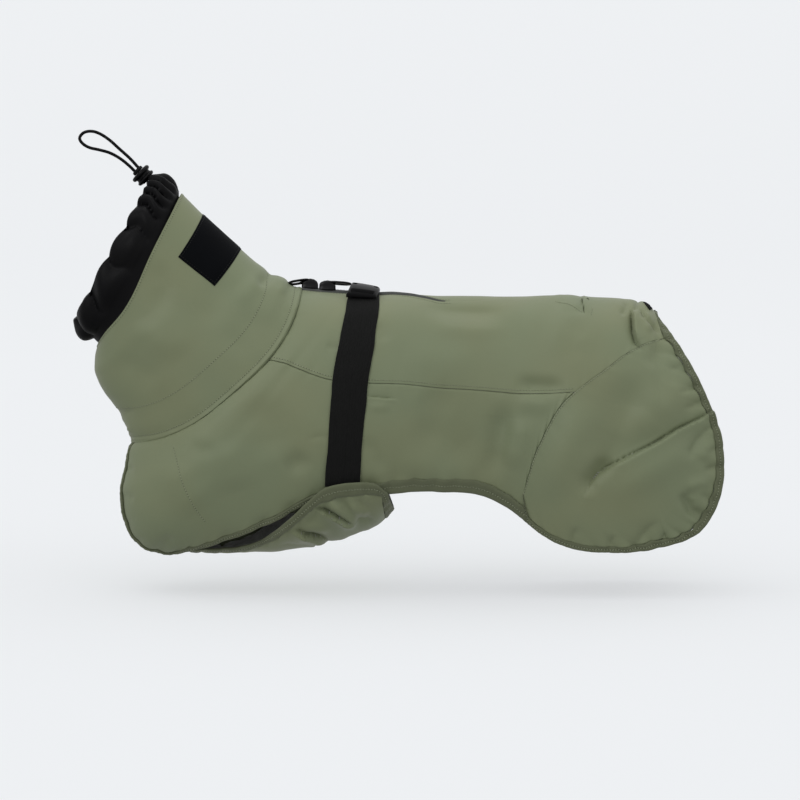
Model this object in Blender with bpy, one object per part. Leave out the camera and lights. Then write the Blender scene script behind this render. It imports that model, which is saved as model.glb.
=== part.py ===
"""A dog raincoat, filled out as it is worn and open inside.

The dog faces -X and its left side is at -Y. The origin is on the inner face of the back, under the
belly strap, where the wearer carries the coat. The coat is the same on both sides of the XZ plane.

Every piece of cloth lies on one of three forms. A form is a row of sections, and a section is an
arch that starts at the spine, swells to its half breadth and closes at the keel. A panel is a wall
between two lines drawn on its form. Tables are in millimetres, and the solids are in metres.
"""

import math

import bmesh
import bpy
import numpy as np
from mathutils import Matrix, Vector

MM = 0.001

# Cloth and trim
CLOTH = 1.8  # wall of the coat's cloth
SEAM_GAP = 0.34  # between two pieces along a seam
BINDING = 3.0  # wall of the folded bias binding
BINDING_PROUD = 0.6  # how far the binding stands above the cloth
BINDING_GAP = 0.9  # between the chest binding's end and the collar, which leans over it
EDGE_HALF = 14.0  # the chest edges lie this far from the middle of the chest
SPINE_HALF = 4.0  # half of the middle strip of the yoke, behind the zip
TAIL_HALF = 0.4  # the two rump bindings end this far from the middle

# The torso's sections. Under "keel" is the lowest point of each, where it closes.
TORSO = (
    # spine x, z, keel x, z, half breadth, sag, fullness
    (-63.0, 7.5, -230.0, -143.0, 66.0, 32.0, 0.85),
    (-56.0, 6.5, -235.0, -152.0, 68.0, 29.0, 0.85),
    (-48.0, 5.6, -239.0, -171.0, 71.0, 25.0, 0.85),
    (-39.0, 4.7, -243.0, -197.0, 74.0, 20.0, 0.85),
    (-29.0, 3.8, -239.0, -223.0, 76.0, 14.0, 0.85),
    (-19.0, 3.0, -227.0, -246.0, 77.0, 8.0, 0.85),
    (-9.0, 2.3, -208.0, -256.0, 78.0, 4.0, 0.85),
    (3.0, 1.6, -178.0, -260.0, 78.0, 1.0, 0.85),
    (17.0, 1.4, -138.0, -261.0, 78.0, 0.0, 0.85),
    (32.0, 2.3, -98.0, -259.0, 78.0, 0.0, 0.85),
    (47.0, 2.3, -58.0, -256.0, 77.0, 0.0, 0.85),
    (62.0, 1.6, -18.0, -250.0, 76.0, 0.0, 0.85),
    (77.0, 1.0, 22.0, -243.0, 74.0, 0.0, 0.85),
    (95.0, 0.9, 62.0, -236.0, 72.0, 0.0, 0.85),
    (115.0, 0.5, 97.0, -233.0, 71.0, 0.0, 0.85),
    (137.0, -0.3, 130.0, -238.0, 72.0, 0.0, 0.85),
    (159.0, 0.0, 157.0, -256.0, 75.0, 0.0, 0.85),
    (182.0, 1.0, 184.0, -283.0, 79.0, 0.0, 0.85),
    (204.0, 1.4, 209.0, -303.0, 83.0, 0.0, 0.85),
    (227.0, -0.7, 234.0, -311.0, 85.0, 0.0, 0.85),
    (250.0, -1.6, 257.0, -313.0, 86.0, 0.0, 0.85),
    (271.0, -3.0, 280.0, -313.0, 85.0, 0.0, 0.85),
    (282.0, -5.5, 291.0, -312.0, 84.0, 0.0, 0.85),
    (288.0, -11.0, 298.0, -311.0, 83.0, 0.0, 0.85),
    (293.0, -16.0, 304.0, -310.0, 82.0, 0.0, 0.85),
    (312.0, -19.0, 321.0, -307.0, 79.0, 0.0, 0.85),
    (337.0, -21.0, 342.0, -303.0, 74.0, 0.0, 0.85),
    (365.0, -23.0, 365.0, -299.0, 66.0, 0.0, 0.85),
)

# The collar's sections, from the neck seam to its mouth.
COLLAR = (
    # spine x, z, keel x, z, half breadth, sag, fullness
    (-63.0, 7.5, -230.0, -143.0, 66.0, 32.0, 0.85),
    (-72.0, 11.0, -237.0, -133.0, 65.5, 28.0, 0.86),
    (-80.0, 18.0, -243.0, -118.0, 64.5, 24.0, 0.87),
    (-91.0, 24.0, -251.0, -106.0, 63.0, 20.0, 0.88),
    (-105.0, 33.0, -258.0, -97.0, 61.0, 15.0, 0.90),
    (-123.0, 48.5, -265.0, -84.0, 58.5, 10.0, 0.92),
    (-141.0, 64.0, -268.5, -72.0, 56.0, 6.0, 0.94),
    (-160.0, 80.5, -268.0, -60.0, 54.0, 4.0, 0.95),
    (-182.0, 102.0, -265.0, -48.0, 52.0, 3.0, 0.96),
)

COLLAR_SECOND, COLLAR_ROWS = 0.6, 9  # its rows past the one at the seam
COLLAR_PROUD = 0.5  # its outer face stands above the form by this much

# The gathered gaiter's sections beyond the collar's mouth, to the hem with the drawcord.
GAITER = (
    # spine x, z, keel x, z, half breadth, sag, fullness
    (-184.0, 105.0, -269.0, -42.0, 49.0, 2.0, 0.96),
    (-191.5, 114.5, -278.0, -41.0, 49.0, 0.0, 1.0),
    (-200.5, 120.5, -285.0, -34.0, 46.0, 0.0, 1.0),
    (-210.0, 120.0, -288.0, -24.0, 41.0, 0.0, 1.0),
    (-210.5, 112.5, -282.0, -21.0, 38.0, 0.0, 1.0),
)
GATHER_DEPTH = (1.0, 4.2, 5.0, 4.0, 2.6)  # one for each of those sections
GAITER_FROM = (7.4, 8.0)  # the collar's sections that its lower edge is sewn behind
GAITER_TUCKED = 1.6  # between the collar's inner face and the gaiter
GATHERS = 14
GATHER_UNEVEN = 1.0  # how far the gathers crowd together and spread, in radians

# Seams and edges as seen from the side
YOKE_SEAM = (
    # x, z
    (-96.0, -61.0), (-78.0, -65.0), (-63.0, -71.0), (-30.0, -82.0), (5.0, -85.0), (37.0, -86.0),
    (77.0, -90.0), (112.0, -92.0), (137.0, -94.0), (157.0, -95.5), (182.0, -95.0), (210.0, -94.0),
)
HAUNCH_SEAM_LOWER = (
    # x, z, from the hem up to the end of the yoke seam
    (159.0, -196.0), (165.0, -175.0), (170.0, -158.0), (177.0, -143.0), (185.0, -126.0),
    (197.0, -107.0), (210.0, -94.0),
)
HAUNCH_SEAM_UPPER = (
    # x, z, from the end of the yoke seam to the rump
    (210.0, -94.0), (227.0, -81.0), (240.0, -72.0), (257.0, -59.0), (274.0, -49.0),
    (287.0, -44.0), (299.0, -41.0),
)
HEM = (
    # x, z, from the bottom of the chest past the front leg and along the loin
    (-196.0, -258.2), (-190.0, -257.0), (-171.0, -253.5), (-149.0, -248.0), (-123.0, -239.0),
    (-101.0, -230.0), (-78.0, -219.0), (-63.0, -210.0), (-43.0, -203.0), (-18.0, -200.0), (7.0, -198.0),
    (37.0, -195.0), (67.0, -193.5), (97.0, -194.5), (117.0, -197.5), (137.0, -206.0),
    (152.0, -215.5), (163.0, -225.0), (170.0, -231.0),
)
RUMP_HEM = (
    # x, z, from the haunch seam round the rump to the tail
    (163.0, -225.0), (182.0, -239.0), (197.0, -246.5), (217.0, -252.0), (237.0, -254.0),
    (257.0, -254.5), (277.0, -253.0), (297.0, -249.0), (322.0, -241.0), (337.0, -231.0),
    (349.0, -213.0), (356.0, -193.0), (359.0, -171.0), (358.0, -148.0), (353.0, -125.0),
    (344.0, -103.0), (332.0, -78.0), (317.0, -52.0), (309.0, -39.5),
)
TAIL_EDGE = ((309.0, -39.5), (303.0, -31.0), (298.0, -25.0), (294.5, -20.0))
CHEST_END = 6.35  # the section where the hem leaves the middle of the chest

# How many rows each stretch of the coat has
FRONT_STRETCHES = (
    # from section, to section, rows
    (0.0, 3.0, 4), (3.0, 7.5, 9), (7.5, 16.25, 9),
)
LOWER_ROWS = 7
UPPER_ROWS = 8
TAIL_SETBACK = 0.55  # how far before the tail the yoke's cloth ends, in sections
CORNER_SHARE = 0.25  # how near to its pointed corners a panel goes, as a share of one row
YOKE_COLUMNS = 5
SIDE_COLUMNS = 8
HAUNCH_COLUMNS = 7
GATHER_SIDES = 6  # columns in each gather of the gaiter
LOCK_FLATTENS, LOCK_REACH = 0.75, 0.02  # how much flatter the gathers are at the cord lock

# Binding widths, seen from the side
CHEST_BINDING = 7.0
LEG_BINDING = 10.0
LOIN_BINDING = 15.0
RUMP_BINDING = 9.0
CHEST_BINDING_TO = (-185.0, -235.0)  # x, z
LEG_BINDING_FROM = -150.0
LOIN_BINDING_GROWS = (-60.0, -20.0)
TAIL_TIP_HALF = 1.4  # how far the tips of the rump bindings lie from the middle

# Folds that show from a step away, on the rump
FOLDS = (
    # x, z of one end, x, z of the other, half width, depth
    (337.0, -119.0, 287.0, -149.0, 11.0, -4.0),
    (287.0, -149.0, 237.0, -172.0, 12.0, -5.0),
    (237.0, -172.0, 221.0, -200.0, 10.0, -4.0),
    (330.0, -137.0, 283.0, -166.0, 13.0, 2.5),
)

# Belly sling
BELLY = (
    # middle x, z, edge x, z, half width
    (-226.5, -143.8, -219.6, -141.2, 19.0),
    (-231.2, -153.3, -225.2, -151.6, 20.0),
    (-235.3, -171.8, -230.1, -171.1, 20.5),
    (-238.9, -197.0, -234.0, -196.5, 20.5),
    (-235.6, -221.6, -232.3, -219.6, 21.0),
    (-224.6, -242.9, -222.1, -240.2, 21.0),
    (-206.8, -252.1, -205.5, -248.7, 20.0),
    (-185.0, -253.0, -184.5, -250.0, 18.0),
    (-165.0, -254.8, -165.0, -252.2, 18.5),
    (-143.0, -255.8, -143.0, -251.8, 22.0),
    (-113.0, -255.8, -113.0, -247.0, 29.0),
    (-93.0, -255.5, -91.0, -235.0, 47.0),
    (-73.0, -253.5, -72.0, -219.5, 67.5),
    (-55.0, -250.5, -53.0, -201.5, 75.0),
    (-38.0, -245.5, -36.0, -188.5, 79.0),
    (-18.0, -242.5, -17.0, -184.5, 79.5),
    (-1.0, -237.5, -1.0, -183.5, 79.5),
    (12.0, -230.5, 10.0, -184.5, 78.0),
    (22.0, -222.0, 17.5, -188.5, 76.0),
    (31.5, -211.5, 24.0, -195.5, 73.0),
)
BELLY_ROUND = 0.86  # how much of a half circle its cross-section bends through
BELLY_COLUMNS = 12
BELLY_FREE_ROWS, BELLY_BOUND_ROWS = 8, 13
BELLY_HALF_ROUND, BELLY_LAST_ROW = 60.0, 9.0  # its half width round the bend, and its last row
BELLY_CORNER = (18.75, 0.985)  # section and share of the half width of its rear corners
BELLY_START = 0.06  # the section where it starts, clear of the collar
BELLY_BINDING = 13.0
BELLY_WHOLE_TO = 5.9  # the section where its cloth starts to narrow, inside the chest edges
BELLY_BOUND_FROM = 6.3  # the section where its binding starts, behind the chest

# Belly strap
STRAP = (
    # z, front edge x, rear edge x, clear of the cloth under it
    (-1.9, -15.0, 16.5, 0.75), (-6.0, -16.0, 16.5, 0.75), (-16.0, -17.5, 16.0, 0.75),
    (-33.0, -21.0, 13.0, 0.75), (-48.0, -24.0, 12.0, 0.75), (-63.0, -27.0, 9.0, 0.75),
    (-83.0, -30.0, 5.5, 0.75), (-103.0, -31.5, 4.0, 0.75), (-123.0, -33.0, 1.5, 0.75),
    (-153.0, -35.0, -1.0, 1.2), (-187.0, -38.0, -2.5, 2.6),
)
STRAP_WALL = 1.6
STRAP_COLUMNS = 3

# Buckle over the spine
BUCKLE_FRONT, BUCKLE_REAR = -12.5, 17.0
BUCKLE_HALF = 31.0  # half of its length across the back
BUCKLE_CLEAR = 3.4  # above the cloth, over the zip
BUCKLE_HIGH_FRONT, BUCKLE_HIGH_REAR = 8.6, 6.0
BUCKLE_ROWS = 5
BUCKLE_ROUNDED = (1.6, 0.0, 0.0, 0.0, 1.6)  # how much lower its top is, from front to rear
BUCKLE_SPLIT, BUCKLE_SPLIT_GAP = 6.0, 0.5  # where the plug goes into the socket

# Back zip. Behind the strap it runs off the spine, towards the left side.
ZIP_START, ZIP_END = -61.5, 84.0
ZIP_MIDDLE = (
    # x, y, for the zip and, past its end, for the middle strip of the yoke
    (-61.5, 0.0), (2.0, 0.0), (22.0, -3.0), (41.0, -10.0), (61.0, -18.0), (84.0, -25.0),
    (110.0, -24.0), (160.0, -14.0), (210.0, -4.0), (240.0, 0.0), (280.0, 0.0),
)
SLOT_FRONT_HALF, SLOT_REAR_HALF = 9.0, 4.0
TAPE_WALL = 1.2
TAPE_DROP = 0.2  # how far the tape's edges lie under the cloth's surface
TAPE_ROWS = 12
TAPE_CLEAR = 0.5  # between the tape and each edge of the slot
COIL_HALF, COIL_TOP_HALF, COIL_HIGH = 2.6, 1.8, 2.3
SLIDER_LENGTH, SLIDER_WIDTH, SLIDER_HIGH = 16.0, 9.0, 3.8
SLIDER_ROUNDED = 1.5
SLIDER_CLEAR = 0.4  # above the coil
SLIDER_FRONT_X, SLIDER_REAR_X = -53.0, -35.5
CROWN_RADIUS = 1.0
CROWN_SPAN, CROWN_HIGH = 9.0, 5.4
CROWN_SUNK = 1.2  # how far its feet go into the slider
CROWN_FLAT = 0.6  # 1 for a round arch, less for a flatter top
CROWN_STEPS = 8
PULL_LENGTH, PULL_WIDTH, PULL_THICK = 19.0, 7.0, 1.5
PULL_BAR = 0.75  # radius of the bar that runs in the crown
PULL_PLAY = 0.25  # between that bar and the crown
PULL_END = 1.2  # how far the tab goes on past its axis
PULL_CORNER = 0.8
PULL_WINDOW = (0.9, 5.4, 2.1)  # from, to, half width
PULL_GRIP = (9.5, 14.5, 1.6)  # from, to, radius
PULL_LEAN = 4.0  # degrees above level, where both lie at rest

# Drawcord and its lock
CORD_RADIUS = 1.5
CORD_ROUTE = (
    # x, z, from the lock out along the upper strand and back along the lower one
    (-224.6, 128.8), (-233.0, 138.0), (-243.0, 147.0), (-253.0, 156.0), (-262.5, 162.3),
    (-271.0, 165.0), (-279.0, 163.6), (-283.2, 158.2), (-280.0, 152.6), (-273.0, 148.6),
    (-263.0, 146.3), (-253.0, 143.4), (-243.0, 138.0), (-234.5, 131.3), (-228.1, 125.1),
)
CORD_POINTS = 26
LOCK_AT = (-219.6, 120.6)  # x, z of the middle of its barrel
LOCK_TILT = 47.0  # degrees from +Z towards -X
LOCK_PROFILE = (
    # radius, height
    (5.6, -6.0), (8.3, -4.6), (8.9, -2.6), (7.4, -0.6), (7.4, 0.4), (9.3, 1.6), (9.6, 3.6), (8.6, 5.2),
)
BUTTON_PROFILE = ((5.2, 5.6), (5.2, 7.6), (4.2, 8.8))

# Label over the top of the collar
LABEL_TOP = (4.93, 7.05)  # sections where its two long edges cross the top of the collar
LABEL_CORNERS = ((-147.0, 11.0), (-183.5, 39.4))  # x, z of the lower corners
LABEL_CLEAR, LABEL_WALL = 0.6, 1.0
LABEL_ROWS, LABEL_COLUMNS = 4, 14

# Elastic over the tail
ELASTIC_X = (279.5, 288.5)
ELASTIC_HALF = 7.0
ELASTIC_CLEAR, ELASTIC_WALL = 0.5, 1.0

# name: (red, green, blue, roughness, metallic)
FINISHES = {
    "coat_cloth": (0.20, 0.235, 0.135, 0.62, 0.0),
    "binding_cloth": (0.155, 0.175, 0.065, 0.75, 0.0),
    "gaiter_cloth": (0.006, 0.006, 0.008, 0.7, 0.0),
    "strap_webbing": (0.012, 0.013, 0.013, 0.8, 0.0),
    "black_plastic": (0.008, 0.008, 0.009, 0.35, 0.0),
    "zip_tape_cloth": (0.055, 0.06, 0.055, 0.8, 0.0),
    "painted_zip": (0.01, 0.01, 0.011, 0.3, 0.6),
    "drawcord_braid": (0.006, 0.006, 0.007, 0.7, 0.0),
    "woven_patch": (0.009, 0.012, 0.014, 0.6, 0.0),
}


# ---------------------------------------------------------------- scene


def clear_scene():
    for old in list(bpy.data.objects):
        bpy.data.objects.remove(old, do_unlink=True)


def finish_material(name):
    found = bpy.data.materials.get(name)
    if found:
        return found
    red, green, blue, roughness, metallic = FINISHES[name]
    made = bpy.data.materials.new(name)
    made.use_nodes = True
    shader = made.node_tree.nodes["Principled BSDF"]
    shader.inputs["Base Color"].default_value = (red, green, blue, 1.0)
    shader.inputs["Roughness"].default_value = roughness
    shader.inputs["Metallic"].default_value = metallic
    made.diffuse_color = (red, green, blue, 1.0)
    return made


def keep(mesh, name, finish, coat, smooth_angle=50.0):
    """Puts a mesh into the coat's collection as a piece of its own."""
    piece = bpy.data.objects.new(name, mesh)
    coat.objects.link(piece)
    mesh.materials.clear()
    mesh.materials.append(finish_material(finish))
    mesh.shade_smooth()
    mesh.set_sharp_from_angle(angle=math.radians(smooth_angle))
    return piece


# ---------------------------------------------------------------- forms


def smooth_rows(table, at):
    """The table's columns at fractional rows, on smooth curves that never swing past a row."""
    rows = np.array(table, float)
    at = np.clip(np.asarray(at, float), 0.0, len(rows) - 1.0)
    steps = np.diff(rows, axis=0)
    before = np.vstack([steps[:1], steps])
    after = np.vstack([steps, steps[-1:]])
    product = before * after
    total = before + after
    safe = np.where(np.abs(total) > 1e-9, total, 1.0)
    slopes = np.where(product > 0, 2.0 * product / safe, 0.0)
    first = np.minimum(at.astype(int), len(rows) - 2)
    t = (at - first)[..., None]
    a, b = rows[first], rows[first + 1]
    return (
        a * (1 + 2 * t) * (1 - t) ** 2
        + slopes[first] * t * (1 - t) ** 2
        + b * t**2 * (3 - 2 * t)
        + slopes[first + 1] * t**2 * (t - 1)
    )


def relief(x, z):
    """How far the folds raise (+) or sink (-) the cloth at a place seen from the side."""
    total = np.zeros(np.shape(x))
    for x1, z1, x2, z2, half_width, depth in FOLDS:
        along = np.array((x2 - x1, z2 - z1))
        length = np.hypot(*along)
        along = along / length
        run = (x - x1) * along[0] + (z - z1) * along[1]
        beyond = np.maximum(0, np.maximum(-run, run - length))
        across = (x - x1) * along[1] - (z - z1) * along[0]
        total = total + depth * np.exp(-(across**2 + beyond**2) / half_width**2)
    return total


class Form:
    """A surface through a table's sections. It is addressed by section number and by angle: 0 at
    the spine and 180 degrees at the keel. Angles past 180 come back up the other side."""

    def __init__(self, table, folded=False):
        self.table = table
        self.folded = folded
        self.outward = 1.0 if table[-1][0] > table[0][0] else -1.0

    def bare(self, section, angle):
        row = smooth_rows(self.table, section)
        spine, keel = row[..., 0:2], row[..., 2:4]
        half, sag, fullness = row[..., 4], row[..., 5], row[..., 6]
        share = (1.0 - np.cos(angle)) / 2.0
        down = keel - spine
        length = np.linalg.norm(down, axis=-1)
        hang = np.stack([-down[..., 1], down[..., 0]], axis=-1) / length[..., None]
        bulge = sag * (1.0 - np.abs(2.0 * share - 1.0) ** 3)
        side = spine + down * share[..., None] + hang * bulge[..., None]
        swell = half * np.sign(np.sin(angle)) * np.abs(np.sin(angle)) ** fullness
        return np.stack([side[..., 0], -swell, side[..., 1]], axis=-1)

    def points(self, section, angle, out=0.0):
        """Points at these places, moved out along the surface's own direction there."""
        section, angle = np.broadcast_arrays(np.asarray(section, float), np.asarray(angle, float))
        tiny = 1e-3
        here = self.bare(section, angle)
        lower = np.clip(section - tiny, 0, len(self.table) - 1)
        upper = np.clip(section + tiny, 0, len(self.table) - 1)
        level = np.where(np.abs(np.sin(angle)) < 0.02, 0.02, 0.0)
        along = self.bare(upper, angle + level) - self.bare(lower, angle + level)
        round_ = self.bare(section, angle + 0.02) - self.bare(section, angle - 0.02)
        facing = np.cross(round_, along)
        facing = self.outward * facing / np.linalg.norm(facing, axis=-1)[..., None]
        on_spine = np.abs(np.sin(angle)) < 1e-6
        facing[..., 1] = np.where(on_spine, 0.0, facing[..., 1])
        rise = relief(here[..., 0], here[..., 2]) if self.folded else 0.0
        return here + facing * (np.asarray(out) + rise)[..., None]

    def find(self, x, z):
        """The section and angle of a place seen from the side."""
        sections = np.linspace(0, len(self.table) - 1, 4 * len(self.table))
        angles = np.radians(np.linspace(1, 179, 90))
        grid = self.bare(*np.meshgrid(sections, angles, indexing="ij"))
        miss = np.hypot(grid[..., 0] - x, grid[..., 2] - z)
        i, k = np.unravel_index(np.argmin(miss), miss.shape)
        at = np.array((sections[i], angles[k]))
        for _ in range(12):
            here = self.bare(*at)[[0, 2]]
            step = 1e-4
            by_section = (self.bare(at[0] + step, at[1])[[0, 2]] - here) / step
            by_angle = (self.bare(at[0], at[1] + step)[[0, 2]] - here) / step
            miss = np.array((x, z)) - here
            way = np.linalg.lstsq(np.stack([by_section, by_angle], 1), miss, rcond=None)[0]
            at = at + np.clip(way, -0.5, 0.5)
            at[0] = min(max(at[0], 0.0), len(self.table) - 1.001)
            at[1] = min(max(at[1], 0.01), math.pi - 0.01)
        return at

    def angle_at(self, section, breadth, low=False):
        """The angle where the section is this far from the middle, above or below its widest."""
        row = smooth_rows(self.table, section)
        angle = np.arcsin((breadth / row[..., 4]) ** (1.0 / row[..., 6]))
        return math.pi - angle if low else angle

    def crossing(self, section, line):
        """The angle where a section crosses a line that is seen from the side."""
        angles = np.radians(np.linspace(2, 179.5, 356))
        ring = self.bare(np.full(angles.shape, section), angles)[:, [0, 2]]
        line = np.array(line, float)
        for a, b in zip(line[:-1], line[1:]):
            across = np.array((b[1] - a[1], a[0] - b[0]))
            side = (ring - a) @ across
            for k in np.nonzero(side[:-1] * side[1:] <= 0)[0]:
                t = side[k] / (side[k] - side[k + 1])
                spot = ring[k] + t * (ring[k + 1] - ring[k])
                run = (spot - a) @ (b - a) / ((b - a) @ (b - a))
                if -1e-6 <= run <= 1 + 1e-6:
                    return angles[k] + t * (angles[1] - angles[0])
        raise ValueError(f"section {section} doesn't cross the line")


def shares(rows, near_start=True, near_end=True):
    """Even steps from 0 to 1, with one more close to each end that narrows to a corner."""
    steps = list(np.linspace(0, 1, rows + 1))
    if near_start:
        steps.insert(1, CORNER_SHARE / rows)
    if near_end:
        steps.insert(-1, 1 - CORNER_SHARE / rows)
    return np.array(steps)


def along_line(line, steps):
    """Points at these shares of the length of a line through the table's places."""
    line = smooth_rows(line, np.linspace(0, len(line) - 1, 20 * len(line)))
    run = np.concatenate([[0], np.cumsum(np.linalg.norm(np.diff(line, axis=0), axis=1))])
    at = np.asarray(steps) * run[-1]
    return np.stack([np.interp(at, run, line[:, k]) for k in range(line.shape[1])], axis=1)


def pulled_back(form, start, end, first_gap, last_gap):
    """Both ends of a row of places, drawn in by the gaps that the neighbours need."""
    sections = np.linspace(start[0], end[0], 9)
    angles = np.linspace(start[1], end[1], 9)
    length = np.linalg.norm(np.diff(form.bare(sections, angles), axis=0), axis=1).sum()
    whole = end - start
    return start + whole * first_gap / length, end - whole * last_gap / length


def rows_between(form, starts, ends, columns, first_gap, last_gap):
    """Places on rows that run from one line to another, as two arrays of rows by columns."""
    t = np.linspace(0, 1, columns + 1)[:, None]
    rows = []
    for start, end in zip(starts, ends):
        a, b = pulled_back(form, start, end, first_gap, last_gap)
        rows.append(a + (b - a) * t)
    rows = np.array(rows)
    return rows[..., 0], rows[..., 1]


def close_up(form, places, gap_first, gap_last):
    """Draws the first and the last row in, away from the pieces that they meet."""
    places = np.stack(places, axis=-1)
    for edge, inner, gap in ((0, 1, gap_first), (-1, -2, gap_last)):
        if gap:
            here = form.bare(places[edge][:, 0], places[edge][:, 1])
            there = form.bare(places[inner][:, 0], places[inner][:, 1])
            far = np.linalg.norm(there - here, axis=1)
            share = np.minimum(0.9, gap / np.maximum(far, 1e-6))
            places[edge] += (places[inner] - places[edge]) * share[:, None]
    return places[..., 0], places[..., 1]


def mirrored(points):
    return points * np.array((1.0, -1.0, 1.0))


# ---------------------------------------------------------------- walls


def wall(outer, inner, closed=False, skip=()):
    """A wall between two grids of points. A cell in skip is left open, and closed joins the last
    column to the first."""
    rows, columns = outer.shape[:2]
    mesh = bmesh.new()
    skins = []
    for grid in (outer, inner):
        skins.append([[mesh.verts.new(Vector(point * MM)) for point in row] for row in grid])
    across = columns if closed else columns - 1
    cells = [(i, k) for i in range(rows - 1) for k in range(across) if (i, k) not in skip]
    sides = {}
    for i, k in cells:
        j = (k + 1) % columns
        ring = ((i, k), (i, j), (i + 1, j), (i + 1, k))
        mesh.faces.new([skins[0][r][c] for r, c in ring])
        mesh.faces.new([skins[1][r][c] for r, c in reversed(ring)])
        for a, b in zip(ring, ring[1:] + ring[:1]):
            if (b, a) in sides:
                del sides[(b, a)]
            else:
                sides[(a, b)] = True
    for (r1, c1), (r2, c2) in sides:
        mesh.faces.new([skins[0][r2][c2], skins[0][r1][c1], skins[1][r1][c1], skins[1][r2][c2]])
    loose = [vert for vert in mesh.verts if not vert.link_faces]
    bmesh.ops.delete(mesh, geom=loose, context="VERTS")
    bmesh.ops.recalc_face_normals(mesh, faces=mesh.faces)
    bmesh.ops.triangulate(mesh, faces=mesh.faces)
    made = bpy.data.meshes.new("wall")
    mesh.to_mesh(made)
    mesh.free()
    return made


def cloth(form, places, out, thick, flip=False, closed=False):
    """A wall of cloth on a form, with its outer face this far out."""
    outer = form.points(*places, out)
    inner = form.points(*places, out - thick)
    if flip:
        outer, inner = mirrored(outer), mirrored(inner)
    return wall(outer, inner, closed)


def both_sides(name, finish, coat, form, places, out, thick):
    keep(cloth(form, places, out, thick), name + "_left", finish, coat)
    keep(cloth(form, places, out, thick, flip=True), name + "_right", finish, coat)


def bevelled_box(size, bevel):
    """A box with rounded edges, centred on the origin."""
    mesh = bmesh.new()
    bmesh.ops.create_cube(mesh, size=1.0)
    bmesh.ops.scale(mesh, vec=Vector(size) * MM, verts=mesh.verts)
    bmesh.ops.bevel(mesh, geom=mesh.edges, offset=bevel * MM, segments=2, profile=0.5, affect="EDGES")
    return mesh


def turned(profile, steps):
    """A turned solid about Z, from radius and height pairs that run from bottom to top."""
    mesh = bmesh.new()
    rings = []
    for radius, height in profile:
        ring = []
        for k in range(steps):
            turn = 2 * math.pi * k / steps
            spot = Vector((radius * math.cos(turn), radius * math.sin(turn), height))
            ring.append(mesh.verts.new(spot * MM))
        rings.append(ring)
    for low, high in zip(rings[:-1], rings[1:]):
        for k in range(steps):
            j = (k + 1) % steps
            mesh.faces.new((low[k], low[j], high[j], high[k]))
    mesh.faces.new(list(reversed(rings[0])))
    mesh.faces.new(rings[-1])
    bmesh.ops.recalc_face_normals(mesh, faces=mesh.faces)
    return mesh


def mesh_from(bm):
    made = bpy.data.meshes.new("solid")
    bm.to_mesh(made)
    bm.free()
    return made


# ---------------------------------------------------------------- the coat's lines


class Lines:
    """The coat's seams and edges as places on the torso."""

    def __init__(self, torso):
        self.torso = torso
        stretches = [np.linspace(a, b, n, endpoint=False) for a, b, n in FRONT_STRETCHES]
        hem_end = torso.find(*RUMP_HEM[0])
        sections = np.append(np.concatenate(stretches), FRONT_STRETCHES[-1][1])
        self.front_rows = len(sections)
        yoke_line = smooth_rows(YOKE_SEAM, np.linspace(0, len(YOKE_SEAM) - 1, 60))
        hem_line = smooth_rows(HEM, np.linspace(0, len(HEM) - 1, 90))
        yoke = [(s, torso.crossing(s, yoke_line)) for s in sections]
        hem = []
        for s in sections[:-1]:
            low = s < CHEST_END
            hem.append((s, torso.angle_at(s, EDGE_HALF, True) if low else torso.crossing(s, hem_line)))
        hem.append(tuple(hem_end))

        corner = torso.find(*HAUNCH_SEAM_UPPER[0])
        low_steps = shares(LOWER_ROWS)
        high_steps = shares(UPPER_ROWS, near_start=False)
        lower = np.array([torso.find(*place) for place in along_line(HAUNCH_SEAM_LOWER, low_steps)])
        upper = np.array([torso.find(*place) for place in along_line(HAUNCH_SEAM_UPPER, high_steps)])
        last = yoke[-1]
        step = [last[0] + (corner[0] - last[0]) * share for share in low_steps[1:-1]]
        yoke += [(s, torso.crossing(s, yoke_line)) for s in step]
        yoke = np.array(yoke + [tuple(corner)])

        self.yoke_low = np.vstack([yoke, upper[1:]])
        slot = float(torso.angle_at(0.0, zip_half(ZIP_START)))
        edge = float(binding_share(torso, yoke[0], np.array(hem[0]), CHEST_BINDING)[1])
        yoke_side = np.linspace(slot, yoke[0, 1], YOKE_COLUMNS + 1)
        panel_side = np.linspace(yoke[0, 1], edge, SIDE_COLUMNS + 1)[1:]
        half = np.concatenate([[0.0], yoke_side, panel_side, [hem[0][1], math.pi]])
        self.neck_angles = np.concatenate([half, 2 * math.pi - half[-2:0:-1]])
        self.side_high = yoke
        self.hem = np.array(hem)
        self.haunch_low = lower
        self.haunch_seam = np.vstack([lower, upper[1:]])
        rump_steps = shares(len(self.haunch_seam) - 3)
        self.rump = np.array([torso.find(*place) for place in along_line(RUMP_HEM, rump_steps)])
        tail_steps = np.linspace(0, 1, YOKE_COLUMNS + 1)[1:-1]
        self.tail_edge = np.array([torso.find(*place) for place in along_line(TAIL_EDGE, tail_steps)])
        self.tail_end = smooth_section(torso, TAIL_EDGE[-1][0])
        run = self.tail_end - TAIL_SETBACK - yoke[-1, 0]
        self.spine = np.concatenate([yoke[:, 0], yoke[-1, 0] + run * high_steps[1:]])


def smooth_section(form, x):
    """The section whose spine point is at this x."""
    sections = np.linspace(0, len(form.table) - 1, 2000)
    return float(np.interp(x, smooth_rows(form.table, sections)[:, 0], sections))


def zip_half(x):
    """Half the width of the slot in the yoke at this x."""
    t = np.clip((x - ZIP_START) / (ZIP_END - ZIP_START), 0, 1)
    return SLOT_FRONT_HALF + (SLOT_REAR_HALF - SLOT_FRONT_HALF) * t


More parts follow.
